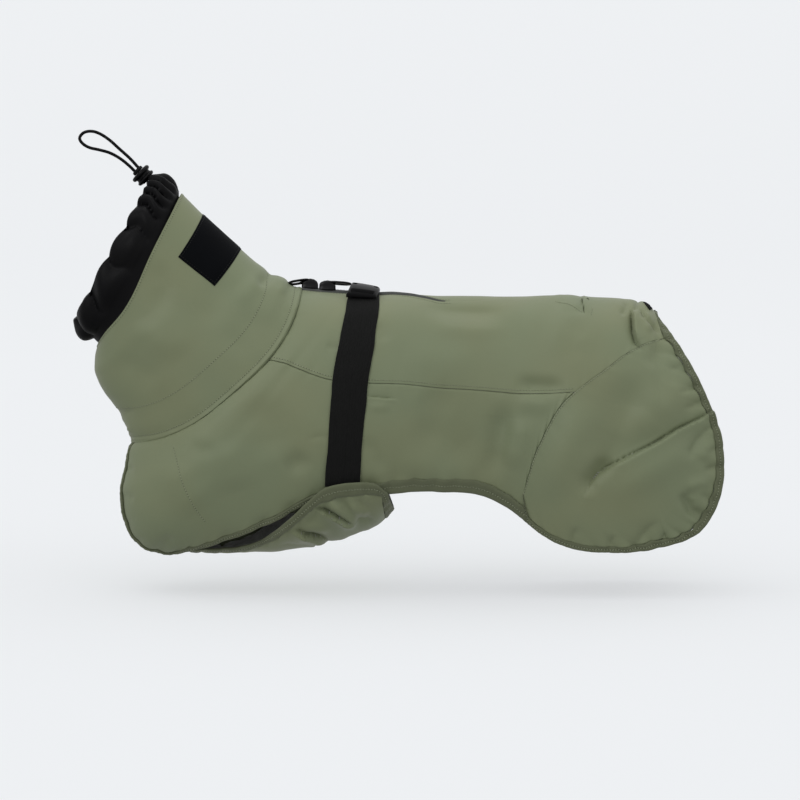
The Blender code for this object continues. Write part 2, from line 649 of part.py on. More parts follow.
def zip_middle(x):
    """How far to the right of the spine the zip's middle, and the strip behind it, lie."""
    steps = np.linspace(0, len(ZIP_MIDDLE) - 1, 100)
    line = smooth_rows(ZIP_MIDDLE, steps)
    return np.interp(x, line[:, 0], line[:, 1])


def angle_of(form, section, y):
    """The angle, on the upper half, of a place this far to the right. It's negative right of the
    spine."""
    return -np.sign(y) * form.angle_at(section, np.abs(y))


# ---------------------------------------------------------------- cloth pieces


def build_yoke(coat, torso, lines):
    spine_x = smooth_rows(torso.table, lines.spine)[:, 0]
    open_rows = spine_x < ZIP_END
    half = np.where(open_rows, zip_half(spine_x), SPINE_HALF)
    middle = zip_middle(spine_x)
    sides = []
    for turn in (1.0, -1.0):
        inner_angle = angle_of(torso, lines.spine, turn * middle - half)
        starts = np.stack([lines.spine, inner_angle], axis=1)
        places = rows_between(torso, starts, lines.yoke_low, YOKE_COLUMNS, 0.0, SEAM_GAP / 2)
        sides.append(close_up(torso, places, SEAM_GAP / 2, SEAM_GAP / 2))
    halves = []
    for out in (0.0, -CLOTH):
        left, right = (torso.points(*places, out) for places in sides)
        halves.append(np.concatenate([left[:, ::-1], mirrored(right)], axis=1))
    shut = {(i, YOKE_COLUMNS) for i in range(len(spine_x) - 1) if open_rows[i]}
    keep(wall(halves[0], halves[1], skip=shut), "back_yoke", "coat_cloth", coat)


def binding_share(torso, start, end, width):
    """The place on a row where the binding starts, this far from the hem as seen from the side."""
    t = np.linspace(0, 1, 60)[:, None]
    row = start + (end - start) * t
    seen = torso.bare(row[:, 0], row[:, 1])[:, [0, 2]]
    far = np.linalg.norm(seen - seen[-1], axis=1)
    solid = torso.bare(row[:, 0], row[:, 1])
    left = np.concatenate([np.cumsum(np.linalg.norm(np.diff(solid, axis=0), axis=1)[::-1])[::-1], [0]])
    share = np.interp(width, np.maximum(far, left)[::-1], t[::-1, 0])
    return start + (end - start) * share


def side_binding_width(x, z):
    """The binding's width along the chest, the front leg's edge and the loin."""
    if x < CHEST_BINDING_TO[0] or z > CHEST_BINDING_TO[1] and x < LEG_BINDING_FROM:
        return CHEST_BINDING
    return float(np.interp(x, LOIN_BINDING_GROWS, (LEG_BINDING, LOIN_BINDING)))


def build_sides(coat, torso, lines):
    front = lines.front_rows
    ends = np.vstack([lines.hem, lines.haunch_low[1:-1]])
    starts = lines.side_high[: len(ends)]
    inner_ends = ends.copy()
    seen = torso.bare(ends[:, 0], ends[:, 1])
    for i in range(front - 1):
        width = side_binding_width(seen[i, 0], seen[i, 2])
        inner_ends[i] = binding_share(torso, starts[i], ends[i], width)
    inner_ends[front - 1] = lines.haunch_low[0]
    places = rows_between(torso, starts, inner_ends, SIDE_COLUMNS, SEAM_GAP / 2, SEAM_GAP / 2)
    places = close_up(torso, places, SEAM_GAP / 2, 0.0)
    both_sides("side_panel", "coat_cloth", coat, torso, places, 0.0, CLOTH)

    places = rows_between(torso, inner_ends[:front], ends[:front], 1, SEAM_GAP / 2, 0.0)
    places = close_up(torso, places, BINDING_GAP, SEAM_GAP / 2)
    both_sides("hem_binding", "binding_cloth", coat, torso, places, BINDING_PROUD, BINDING)


def build_haunches(coat, torso, lines):
    starts, ends = lines.haunch_seam, lines.rump
    inner = np.array([binding_share(torso, a, b, RUMP_BINDING) for a, b in zip(starts, ends)])
    inner[0], inner[-1] = starts[0], starts[-1]
    places = rows_between(torso, starts[1:-1], inner[1:-1], HAUNCH_COLUMNS, SEAM_GAP / 2, SEAM_GAP / 2)
    both_sides("haunch_panel", "coat_cloth", coat, torso, places, 0.0, CLOTH)

    # Past the haunch seam the binding follows the yoke's last row, up to the tail.
    last_half = torso.angle_at(lines.spine[-1], SPINE_HALF)
    spine_end = np.array((lines.spine[-1], last_half))
    t = np.linspace(1, 0, YOKE_COLUMNS + 1)[1:-1, None]
    yoke_end = spine_end + (starts[-1] - spine_end) * t
    tip_outer = np.array((lines.tail_end, torso.angle_at(lines.tail_end, TAIL_TIP_HALF)))
    tip_inner = np.array((lines.spine[-1], torso.angle_at(lines.spine[-1], TAIL_HALF)))
    inner = np.vstack([inner, yoke_end, tip_inner])
    outer = np.vstack([ends, lines.tail_edge, tip_outer])
    places = rows_between(torso, inner, outer, 1, SEAM_GAP / 2, 0.0)
    places = close_up(torso, places, SEAM_GAP / 2, 0.0)
    both_sides("haunch_binding", "binding_cloth", coat, torso, places, BINDING_PROUD, BINDING)


def tube_angles(columns):
    return np.linspace(0, 2 * math.pi, columns, endpoint=False)


def build_collar(coat, collar, lines):
    """A tube whose lower edge has the same corners as the panels that it is sewn to."""
    sections = np.append(0.0, np.linspace(COLLAR_SECOND, len(COLLAR) - 1, COLLAR_ROWS))
    places = np.meshgrid(sections, lines.neck_angles, indexing="ij")
    places = close_up(collar, places, SEAM_GAP, 0.0)
    outer, inner = (collar.points(*places, out) for out in (COLLAR_PROUD, COLLAR_PROUD - CLOTH))
    keep(wall(outer, inner, closed=True), "collar", "coat_cloth", coat)


def gathers(angle):
    """The gaiter's gathers round its opening: uneven, and flatter at the cord lock."""
    turn = GATHERS * angle + GATHER_UNEVEN * (np.sin(2 * angle) + np.sin(5 * angle))
    return np.sin(turn) * (1 - LOCK_FLATTENS * np.exp((np.cos(angle) - 1) / LOCK_REACH))


def build_gaiter(coat, collar, gaiter):
    angles = tube_angles(GATHERS * GATHER_SIDES)
    tucked = COLLAR_PROUD - CLOTH - GAITER_TUCKED
    rings = {0.0: [], -CLOTH: []}
    for out, grid in rings.items():
        for section in GAITER_FROM:
            grid.append(collar.points(section, angles, tucked + out))
        for section, depth in enumerate(GATHER_DEPTH):
            grid.append(gaiter.points(float(section), angles, out + depth * gathers(angles)))
    shell = wall(np.array(rings[0.0]), np.array(rings[-CLOTH]), closed=True)
    keep(shell, "neck_gaiter", "gaiter_cloth", coat)


def belly_bare(section, across):
    row = smooth_rows(BELLY, section)
    bend = math.pi / 2 * BELLY_ROUND
    lift = (1 - np.cos(across * bend)) / (1 - math.cos(bend))
    spot = row[..., 0:2] + (row[..., 2:4] - row[..., 0:2]) * lift[..., None]
    aside = row[..., 4] * np.sin(across * bend) / math.sin(bend)
    return np.stack([spot[..., 0], aside, spot[..., 1]], axis=-1)


def belly_points(section, across, out=0.0):
    """The belly sling. Across runs from -1 at its left edge to 1 at its right one."""
    section, across = np.broadcast_arrays(np.asarray(section, float), np.asarray(across, float))
    tiny = 1e-3
    here = belly_bare(section, across)
    after = belly_bare(np.minimum(section + tiny, len(BELLY) - 1), across)
    before = belly_bare(np.maximum(section - tiny, 0), across)
    round_ = belly_bare(section, across + tiny) - belly_bare(section, across - tiny)
    facing = np.cross(after - before, round_)
    facing = facing / np.linalg.norm(facing, axis=-1)[..., None]
    return here - facing * np.asarray(out)[..., None]


def belly_share(section):
    """The share of the half width that the cloth has, inside the binding."""
    row = smooth_rows(BELLY, section)
    half = np.hypot(row[..., 4], np.linalg.norm(row[..., 2:4] - row[..., 0:2], axis=-1))
    return 1.0 - BELLY_BINDING / half


def build_belly(coat):
    last = len(BELLY) - 1.0
    cloth_end = last - 1.0
    aside = SEAM_GAP / 2 / BELLY_HALF_ROUND
    behind = SEAM_GAP / 2 / BELLY_LAST_ROW
    bound = np.linspace(BELLY_BOUND_FROM, cloth_end, BELLY_BOUND_ROWS)
    free = np.linspace(BELLY_START, BELLY_WHOLE_TO, BELLY_FREE_ROWS)
    sections = np.concatenate([free, bound])
    share = np.concatenate([np.ones(len(free)), belly_share(bound) - aside])
    across = np.linspace(-1, 1, BELLY_COLUMNS + 1)[None, :] * share[:, None]
    grid = np.broadcast_to(sections[:, None], across.shape).copy()
    grid[-1] -= behind
    outer = belly_points(grid, across, 0.0)
    inner = belly_points(grid, across, -CLOTH)
    keep(wall(outer, inner), "chest_belly_panel", "coat_cloth", coat)

    # The binding runs back along one side, across the end and forward along the other.
    rear = np.linspace(-1, 1, BELLY_COLUMNS + 1)
    inside = [(s, -belly_share(s) - aside) for s in bound]
    outside = [(s, -1.0) for s in bound[:-1]] + [(BELLY_CORNER[0], -BELLY_CORNER[1])]
    inside += [(cloth_end + behind, v * belly_share(cloth_end)) for v in rear[1:-1]]
    outside += [(last, v) for v in rear[1:-1]]
    inside += [(s, belly_share(s) + aside) for s in bound[::-1]]
    outside += [BELLY_CORNER] + [(s, 1.0) for s in bound[-2::-1]]
    path = np.array([inside, outside]).transpose(1, 0, 2)
    outer = belly_points(path[..., 0], path[..., 1], BINDING_PROUD)
    inner = belly_points(path[..., 0], path[..., 1], BINDING_PROUD - BINDING)
    keep(wall(outer, inner), "belly_binding", "binding_cloth", coat)


def build_straps(coat, torso):
    t = np.linspace(0, 1, STRAP_COLUMNS + 1)
    places = np.array([[torso.find(a + (b - a) * s, z) for s in t] for z, a, b, _ in STRAP])
    clear = np.array([row[3] for row in STRAP])[:, None]
    places = (places[..., 0], places[..., 1])
    both_sides("strap", "strap_webbing", coat, torso, places, clear + STRAP_WALL, STRAP_WALL)


# ---------------------------------------------------------------- trim and hardware


def build_buckle(coat, torso):
    """Two halves of a side-release buckle, curved to the back, that meet beside the spine."""
    length = np.linspace(BUCKLE_FRONT, BUCKLE_REAR, len(BUCKLE_ROUNDED))
    sections = np.array([smooth_section(torso, x) for x in length])
    high = np.interp(length, (BUCKLE_FRONT, BUCKLE_REAR), (BUCKLE_HIGH_FRONT, BUCKLE_HIGH_REAR))
    high = high - BUCKLE_ROUNDED
    halves = {
        "buckle_socket": (-BUCKLE_HALF, BUCKLE_SPLIT),
        "buckle_plug": (BUCKLE_SPLIT + BUCKLE_SPLIT_GAP, BUCKLE_HALF),
    }
    for name, ends in halves.items():
        across = np.linspace(*ends, BUCKLE_ROWS)
        angles = [[math.copysign(float(torso.angle_at(s, abs(y))), -y) for s in sections] for y in across]
        places = (np.broadcast_to(sections, (len(across), len(sections))), np.array(angles))
        low = torso.points(*places, BUCKLE_CLEAR)
        top = torso.points(*places, BUCKLE_CLEAR + high[None, :])
        keep(wall(top, low), name, "black_plastic", coat, 30.0)


def build_zip(coat, torso):
    """Both tapes and the closed coil, as one strip with a ridge down its middle."""
    heights = np.array((-TAPE_DROP, 0.0, 0.0, COIL_HIGH, COIL_HIGH, 0.0, 0.0, -TAPE_DROP))
    outer, inner = [], []
    for x in np.linspace(ZIP_START, ZIP_END - 1.0, TAPE_ROWS):
        section = smooth_section(torso, x)
        half = float(zip_half(x)) - TAPE_CLEAR
        flat = (half + COIL_HALF) / 2
        spots = np.array((-half, -flat, -COIL_HALF, -COIL_TOP_HALF))
        angles = angle_of(torso, section, np.concatenate([spots, -spots[::-1]]) + zip_middle(x))
        outer.append(torso.points(section, angles, heights))
        inner.append(torso.points(section, angles, -TAPE_WALL))
    keep(wall(np.array(outer), np.array(inner)), "zip_tape", "zip_tape_cloth", coat, 30.0)


def slider_seat(torso, x):
    """The height of a slider's underside, just clear of the coil along its whole length."""
    spots = np.linspace(x - SLIDER_LENGTH / 2, x + SLIDER_LENGTH / 2, 5)
    sections = np.array([smooth_section(torso, spot) for spot in spots])
    return float(torso.points(sections, np.zeros(len(spots)), COIL_HIGH + SLIDER_CLEAR)[:, 2].max())


def crown_height(torso, x):
    """The height of the bar that a pull tab turns on, inside the slider's crown."""
    top = slider_seat(torso, x) + SLIDER_HIGH + CROWN_HIGH
    return top - 2 * CROWN_RADIUS - PULL_BAR - PULL_PLAY


def build_slider(coat, torso, name, x):
    """A slider body with the arched crown that holds its pull tab."""
    seat = slider_seat(torso, x)
    body = bevelled_box((SLIDER_LENGTH, SLIDER_WIDTH, SLIDER_HIGH), SLIDER_ROUNDED)
    bmesh.ops.translate(body, vec=Vector((x, 0, seat + SLIDER_HIGH / 2)) * MM, verts=body.verts)
    piece = keep(mesh_from(body), name, "painted_zip", coat, 30.0)

    curve = bpy.data.curves.new(name + "_crown", "CURVE")
    curve.dimensions = "3D"
    curve.bevel_depth = CROWN_RADIUS * MM
    curve.bevel_resolution = 2
    curve.use_fill_caps = True
    line = curve.splines.new("POLY")
    foot = seat + SLIDER_HIGH - CROWN_SUNK
    rise = CROWN_HIGH - CROWN_RADIUS + CROWN_SUNK
    arch = []
    for k in range(CROWN_STEPS + 1):
        turn = math.pi * k / CROWN_STEPS
        arch.append((x - math.cos(turn) * CROWN_SPAN / 2, 0.0, foot + rise * math.sin(turn) ** CROWN_FLAT))
    line.points.add(len(arch) - 1)
    for point, spot in zip(line.points, arch):
        point.co = (*(Vector(spot) * MM), 1.0)
    holder = bpy.data.objects.new(name + "_crown", curve)
    coat.objects.link(holder)
    bpy.context.view_layer.update()
    shape = bpy.data.meshes.new_from_object(holder.evaluated_get(bpy.context.evaluated_depsgraph_get()))
    welded = bmesh.new()
    welded.from_mesh(shape)
    bmesh.ops.remove_doubles(welded, verts=welded.verts, dist=1e-6)
    welded.to_mesh(shape)
    welded.free()
    bpy.data.objects.remove(holder)
    crown = bpy.data.objects.new(name + "_crown", shape)
    cutters().objects.link(crown)
    crown.hide_render = True
    crown.display_type = "WIRE"
    join = piece.modifiers.new("crown", "BOOLEAN")
    join.operation = "UNION"
    join.object = crown


def cutters():
    found = bpy.data.collections.get("joining_shapes")
    if not found:
        found = bpy.data.collections.new("joining_shapes")
        bpy.context.scene.collection.children.link(found)
    return found


def build_pull(coat, torso, name, x, facing):
    """A pull tab: an oval plate whose end bar runs in the slider's crown. Its origin is on the
    bar's axis. It lies towards +X, or towards -X when its facing is half a turn."""
    half = PULL_WIDTH / 2
    outline = []
    for turn in np.linspace(-math.pi / 2, math.pi / 2, 13):
        outline.append((PULL_LENGTH - half + half * math.cos(turn), half * math.sin(turn)))
    outline += [(-PULL_END, half - PULL_CORNER), (-PULL_END, PULL_CORNER - half)]
    start, end, side = PULL_WINDOW
    window = [(start, side), (end, side), (end, -side), (start, -side)]
    start, end, radius = PULL_GRIP
    grip = []
    for turn in np.linspace(0, 2 * math.pi, 12, endpoint=False):
        middle = end - radius if math.sin(turn) > 0 else start
        grip.append((middle + radius * math.sin(turn), radius * math.cos(turn)))
    curve = bpy.data.curves.new(name, "CURVE")
    curve.dimensions = "2D"
    curve.fill_mode = "BOTH"
    curve.extrude = PULL_THICK / 2 * MM
    for ring in (outline, window, grip):
        line = curve.splines.new("POLY")
        line.points.add(len(ring) - 1)
        line.use_cyclic_u = True
        for point, (px, py) in zip(line.points, ring):
            point.co = (px * MM, py * MM, 0.0, 1.0)
    holder = bpy.data.objects.new(name, curve)
    coat.objects.link(holder)
    bpy.context.view_layer.update()
    shape = bpy.data.meshes.new_from_object(holder.evaluated_get(bpy.context.evaluated_depsgraph_get()))
    bpy.data.objects.remove(holder)
    solid = bmesh.new()
    solid.from_mesh(shape)
    bmesh.ops.remove_doubles(solid, verts=solid.verts, dist=1e-6)
    bmesh.ops.triangulate(solid, faces=solid.faces)
    bmesh.ops.recalc_face_normals(solid, faces=solid.faces)
    solid.to_mesh(shape)
    solid.free()
    piece = keep(shape, name, "painted_zip", coat, 30.0)
    piece.location = Vector((x, 0.0, crown_height(torso, x))) * MM
    turn = Matrix.Rotation(facing, 4, "Z") @ Matrix.Rotation(math.radians(-PULL_LEAN), 4, "Y")
    piece.rotation_euler = turn.to_euler()


def build_cord(coat):
    route = along_line(CORD_ROUTE, np.linspace(0, 1, CORD_POINTS))
    curve = bpy.data.curves.new("drawcord", "CURVE")
    curve.dimensions = "3D"
    curve.bevel_depth = CORD_RADIUS * MM
    curve.bevel_resolution = 2
    curve.use_fill_caps = True
    line = curve.splines.new("POLY")
    line.points.add(len(route) - 1)
    for point, (x, z) in zip(line.points, route):
        point.co = (x * MM, 0.0, z * MM, 1.0)
    piece = bpy.data.objects.new("drawcord", curve)
    coat.objects.link(piece)
    curve.materials.append(finish_material("drawcord_braid"))


def build_lock(coat):
    for name, profile in (("cord_lock", LOCK_PROFILE), ("cord_lock_button", BUTTON_PROFILE)):
        piece = keep(mesh_from(turned(profile, 20)), name, "black_plastic", coat, 40.0)
        piece.location = Vector((LOCK_AT[0], 0.0, LOCK_AT[1])) * MM
        piece.rotation_euler = (0.0, math.radians(-LOCK_TILT), 0.0)


def build_label(coat, collar):
    rear, front = (collar.find(*corner) for corner in LABEL_CORNERS)
    across = np.linspace(-1, 1, LABEL_COLUMNS + 1)
    rows = []
    for t in np.linspace(0, 1, LABEL_ROWS + 1):
        top = LABEL_TOP[0] + (LABEL_TOP[1] - LABEL_TOP[0]) * t
        low = rear + (front - rear) * t
        rows.append([(top + (low[0] - top) * abs(v), low[1] * v) for v in across])
    rows = np.array(rows)
    places = (rows[..., 0], rows[..., 1])
    out = COLLAR_PROUD + LABEL_CLEAR + LABEL_WALL
    keep(cloth(collar, places, out, LABEL_WALL), "label_patch", "woven_patch", coat)


def build_elastic(coat, torso):
    sections = np.linspace(*(smooth_section(torso, x) for x in ELASTIC_X), 4)
    rows = []
    for section in sections:
        edge = float(torso.angle_at(section, ELASTIC_HALF))
        rows.append([(section, edge * v) for v in np.linspace(-1, 1, 5)])
    rows = np.array(rows)
    out = ELASTIC_CLEAR + ELASTIC_WALL
    places = (rows[..., 0], rows[..., 1])
    keep(cloth(torso, places, out, ELASTIC_WALL), "tail_elastic", "strap_webbing", coat)


def main():
    clear_scene()
    coat = bpy.data.collections.new("dog_raincoat")
    bpy.context.scene.collection.children.link(coat)
    torso, collar, gaiter = Form(TORSO, folded=True), Form(COLLAR), Form(GAITER)
    lines = Lines(torso)
    build_yoke(coat, torso, lines)
    build_sides(coat, torso, lines)
    build_haunches(coat, torso, lines)
    build_collar(coat, collar, lines)
    build_gaiter(coat, collar, gaiter)
    build_belly(coat)
    build_straps(coat, torso)
    build_buckle(coat, torso)
    build_zip(coat, torso)
    build_slider(coat, torso, "zip_slider_front", SLIDER_FRONT_X)
    build_slider(coat, torso, "zip_slider_rear", SLIDER_REAR_X)
    build_pull(coat, torso, "zip_pull_front", SLIDER_FRONT_X, math.pi)
    build_pull(coat, torso, "zip_pull_rear", SLIDER_REAR_X, 0.0)
    build_cord(coat)
    build_lock(coat)
    build_label(coat, collar)
    build_elastic(coat, torso)


main()
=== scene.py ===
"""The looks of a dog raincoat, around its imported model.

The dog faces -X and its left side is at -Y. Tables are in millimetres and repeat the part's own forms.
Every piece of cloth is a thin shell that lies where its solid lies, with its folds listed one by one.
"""

import math

import bmesh
import bpy
import numpy as np
from bpy.props import FloatProperty, FloatVectorProperty, PointerProperty
from mathutils import Matrix, Vector


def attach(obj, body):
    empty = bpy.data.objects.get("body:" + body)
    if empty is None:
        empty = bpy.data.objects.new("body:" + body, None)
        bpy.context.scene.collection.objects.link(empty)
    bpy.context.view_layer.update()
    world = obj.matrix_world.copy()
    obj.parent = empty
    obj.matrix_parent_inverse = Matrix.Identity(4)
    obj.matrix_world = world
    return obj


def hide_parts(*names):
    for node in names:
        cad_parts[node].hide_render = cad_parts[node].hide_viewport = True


bl_info = {
    "name": "Dog raincoat",
    "version": (1, 0, 0),
    "blender": (4, 5, 0),
    "location": "View3D > Sidebar > Raincoat",
    "description": "Sews the visible cloth, trim and hardware of a dog raincoat onto its packed model",
    "category": "Object",
}

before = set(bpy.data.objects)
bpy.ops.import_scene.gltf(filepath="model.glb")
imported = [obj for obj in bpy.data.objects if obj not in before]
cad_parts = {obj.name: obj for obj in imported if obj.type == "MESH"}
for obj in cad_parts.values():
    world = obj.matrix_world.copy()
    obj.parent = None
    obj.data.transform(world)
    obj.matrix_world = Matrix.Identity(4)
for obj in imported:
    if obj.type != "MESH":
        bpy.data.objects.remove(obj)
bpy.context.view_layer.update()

MM = 0.001

# ---------------- the coat's forms

TORSO_FULLNESS = 0.85  # 1 would be an ellipse, and less is boxier
TORSO = tuple((*row, TORSO_FULLNESS) for row in (
    # spine x, z, keel x, z, half breadth, sag
    (-63, 7.5, -230, -143, 66, 32),
    (-56, 6.5, -235, -152, 68, 29),
    (-48, 5.6, -239, -171, 71, 25),
    (-39, 4.7, -243, -197, 74, 20),
    (-29, 3.8, -239, -223, 76, 14),
    (-19, 3, -227, -246, 77, 8),
    (-9, 2.3, -208, -256, 78, 4),
    (3, 1.6, -178, -260, 78, 1),
    (17, 1.4, -138, -261, 78, 0),
    (32, 2.3, -98, -259, 78, 0),
    (47, 2.3, -58, -256, 77, 0),
    (62, 1.6, -18, -250, 76, 0),
    (77, 1, 22, -243, 74, 0),
    (95, 0.9, 62, -236, 72, 0),
    (115, 0.5, 97, -233, 71, 0),
    (137, -0.3, 130, -238, 72, 0),
    (159, 0, 157, -256, 75, 0),
    (182, 1, 184, -283, 79, 0),
    (204, 1.4, 209, -303, 83, 0),
    (227, -0.7, 234, -311, 85, 0),
    (250, -1.6, 257, -313, 86, 0),
    (271, -3, 280, -313, 85, 0),
    (282, -5.5, 291, -312, 84, 0),
    (288, -11, 298, -311, 83, 0),
    (293, -16, 304, -310, 82, 0),
    (312, -19, 321, -307, 79, 0),
    (337, -21, 342, -303, 74, 0),
    (365, -23, 365, -299, 66, 0),
))
COLLAR = (
    # spine x, z, keel x, z, half breadth, sag, fullness
    TORSO[0],
    (-72, 11, -237, -133, 65.5, 28, 0.86),
    (-80, 18, -243, -118, 64.5, 24, 0.87),
    (-91, 24, -251, -106, 63, 20, 0.88),
    (-105, 33, -258, -97, 61, 15, 0.90),
    (-123, 48.5, -265, -84, 58.5, 10, 0.92),
    (-141, 64, -268.5, -72, 56, 6, 0.94),
    (-160, 80.5, -268, -60, 54, 4, 0.95),
    (-182, 102, -265, -48, 52, 3, 0.96),
)
COLLAR_PROUD = 0.5  # the collar's outer face stands above its form by this much
COLLAR_LAY = {"out": COLLAR_PROUD, "seed": 1.3, "slackness": 0.8}  # how its cloth and its label lie
GAITER = (
    # spine x, z, keel x, z, half breadth, sag, fullness
    (-184, 105, -269, -42, 49, 2, 0.96),
    (-191.5, 114.5, -278, -41, 49, 0, 1),
    (-200.5, 120.5, -285, -34, 46, 0, 1),
    (-210, 120, -288, -24, 41, 0, 1),
    (-210.5, 112.5, -282, -21, 38, 0, 1),
)
GATHER_DEPTH = ((1,), (4.2,), (5,), (4,), (2.6,))  # one for each of those sections
GAITER_BEHIND = (7.4, 7.6, 7.8, 8)  # the collar's sections that its sewn part lies behind
GAITER_TUCKED = 1.6  # between the collar's inner face and the gaiter
GATHER_VALLEYS = (-9, 9, 22, 32, 41, 52, 70, 97, 130, 163, 197)  # degrees from the top

BELLY = (
    # middle x, z, edge x, z, half width
    (-226.5, -143.8, -219.6, -141.2, 19),
    (-231.2, -153.3, -225.2, -151.6, 20),
    (-235.3, -171.8, -230.1, -171.1, 20.5),
    (-238.9, -197, -234, -196.5, 20.5),
    (-235.6, -221.6, -232.3, -219.6, 21),
    (-224.6, -242.9, -222.1, -240.2, 21),
    (-206.8, -252.1, -205.5, -248.7, 20),
    (-185, -253, -184.5, -250, 18),
    (-165, -254.8, -165, -252.2, 18.5),
    (-143, -255.8, -143, -251.8, 22),
    (-113, -255.8, -113, -247, 29),
    (-93, -255.5, -91, -235, 47),
    (-73, -253.5, -72, -219.5, 67.5),
    (-55, -250.5, -53, -201.5, 75),
    (-38, -245.5, -36, -188.5, 79),
    (-18, -242.5, -17, -184.5, 79.5),
    (-1, -237.5, -1, -183.5, 79.5),
    (12, -230.5, 10, -184.5, 78),
    (22, -222, 17.5, -188.5, 76),
    (31.5, -211.5, 24, -195.5, 73),
)
BELLY_ROUND = 0.86  # how much of a half circle its cross-section bends through
BELLY_START = 0.06  # the section where it starts, clear of the collar
BELLY_BINDING = 14.5
BELLY_WHOLE_TO = 5.9  # the section where its cloth starts to narrow, inside the chest edges
BELLY_BOUND_FROM = 6.3  # the section where its binding starts, behind the chest
CURL = (24, -196, -58)  # how far its right edge curls up between the legs, and from x to x
BELLY_CORNER = (18.75, 0.985)  # section and share of the half width of its rear corners

# ---------------- seams and edges, seen from the side

EDGE_HALF = 14  # the chest edges lie this far from the middle of the chest
YOKE_SEAM = (
    (-96, -61), (-78, -65), (-63, -71), (-30, -82), (5, -85), (37, -86),
    (77, -90), (112, -92), (137, -94), (157, -95.5), (182, -95), (210, -94),
)
HAUNCH_SEAM_LOWER = (
    # from the hem up to the end of the yoke seam
    (159, -196), (165, -175), (170, -158), (177, -143), (185, -126),
    (197, -107), (210, -94),
)
HAUNCH_SEAM_UPPER = (
    # from the end of the yoke seam to the rump
    (210, -94), (227, -81), (240, -72), (257, -59), (274, -49),
    (287, -44), (299, -41),
)
HEM = (
    # from the bottom of the chest past the front leg and along the loin
    (-196, -258.2), (-190, -257), (-171, -253.5), (-149, -248), (-123, -239),
    (-101, -230), (-78, -219), (-63, -210), (-43, -203), (-18, -200), (7, -198),
    (37, -195), (67, -193.5), (97, -194.5), (117, -197.5), (137, -206),
    (152, -215.5), (163, -225), (170, -231),
)
RUMP_HEM = (
    # from the haunch seam round the rump to the tail
    (163, -225), (182, -239), (197, -246.5), (217, -252), (237, -254),
    (257, -254.5), (277, -253), (297, -249), (322, -241), (337, -231),
    (349, -213), (356, -193), (359, -171), (358, -148), (353, -125),
    (344, -103), (332, -78), (317, -52), (309, -39.5),
)
TAIL_EDGE = ((309, -39.5), (303, -31), (298, -25), (294.5, -20))
CHEST_END = 6.35  # the torso's section where the hem leaves the middle of the chest
HEM_CROSSES_FROM = 6.6  # the first section that crosses the hem's line
CORNER_FROM = 16.25  # the section where the haunch seam meets the hem
TAIL_SETBACK = 0.55  # how far before the tail the yoke's cloth ends, in sections
TAIL_TIP_HALF = 1.4  # how far the tips of the rump bindings lie from the middle
TAIL_HALF = 0.4
CHEST_BINDING, LEG_BINDING, LOIN_BINDING, RUMP_BINDING = 4, 10, 15, 9
CHEST_BINDING_TO = (-185, -235)
LEG_BINDING_FROM = -150
LOIN_BINDING_GROWS = (-60, -20)
WELT_SLIT = ((218.6, -1.6), (219.2, -6), (220.3, -16))  # the welt over the loin, its slit,
WELT_DOT = ((223.4, -2.6), (225.4, -3.4))  # the bar at its corner
WELT_LOW = ((191, -5), (206, -9), (218, -15.4))  # and the stitches that hold it
WELT_END = ((228.6, -11), (227, -20))
CHEST_DART = (
    (-188, -148), (-183, -166), (-177, -186), (-171, -200), (-163.5, -214),
    (-156, -224),
)

# ---------------- strap, zip, buckle, cord, label

STRAP = (
    # z, front edge x, rear edge x, clear of the cloth under it
    (0.4, -14.8, 16.5, 0.75), (-1.9, -15, 16.5, 0.75), (-6, -16, 16.5, 0.75), (-16, -17.5, 16, 0.75),
    (-33, -21, 13, 0.75), (-48, -24, 12, 0.75), (-63, -27, 9, 0.75),
    (-83, -30, 5.5, 0.75), (-103, -31.5, 4, 0.75), (-123, -33, 1.5, 0.75),
    (-153, -35, -1, 1.2), (-187, -38, -2.5, 2.6),
)
STRAP_WALL = 1.6
BUCKLE_FRONT, BUCKLE_REAR = -12.5, 17
BUCKLE_HALF = 28.5
BUCKLE_CLEAR = 3.4
BUCKLE_HIGH_FRONT, BUCKLE_HIGH_REAR = 8.4, 4.6
BUCKLE_SPLIT, BUCKLE_SPLIT_GAP = 6, 0.5
ZIP_START, ZIP_END = -61.5, 84
ZIP_MIDDLE = (
    # x, y, for the zip and, past its end, for the middle of the yoke
    (-61.5, 0), (2, 0), (22, -3), (41, -10), (61, -18), (84, -25),
    (110, -24), (160, -14), (210, -4), (240, 0), (280, 0),
)
SLOT_HALF = ((-61.5, 9), (20, 6.5), (60, 3.4), (84, 0.7))  # x, half width of the open slot
SLIDER_X = (-53, -35.5)
PULL_AXIS_Z = {"front": 16.078, "rear": 14.024}
CORD_RADIUS = 1.6
CORD_ROUTE = (
    # x, z, from the lock out along the upper strand and back along the lower one
    (-224.6, 128.8), (-233, 138), (-243, 147), (-253, 156), (-262.5, 162.3),
    (-271, 165), (-279, 163.6), (-283.2, 158.2), (-280, 152.6), (-273, 148.6),
    (-263, 146.3), (-253, 143.4), (-243, 138), (-234.5, 131.3), (-228.1, 125.1),
)
CORD_POINTS = 76
LOCK_AT = (-219.6, 120.6)
LOCK_TILT = 47  # degrees from +Z towards -X
LABEL_TOP = (4.93, 7.05)  # the collar's sections where the label's long edges cross its top
LABEL_CORNERS = ((-147, 11), (-183.5, 39.4))  # x, z of the lower corners
LABEL_CLEAR, LABEL_WALL, LABEL_SEWN = 0.2, 0.8, 2.4  # its stitches lie this far from its edge
ELASTIC_X = (279.5, 288.5)
ELASTIC_SHOWS = 27  # how far down each side its gathered cloth is seen, as seen from above

# ---------------- folds, seen from the left side

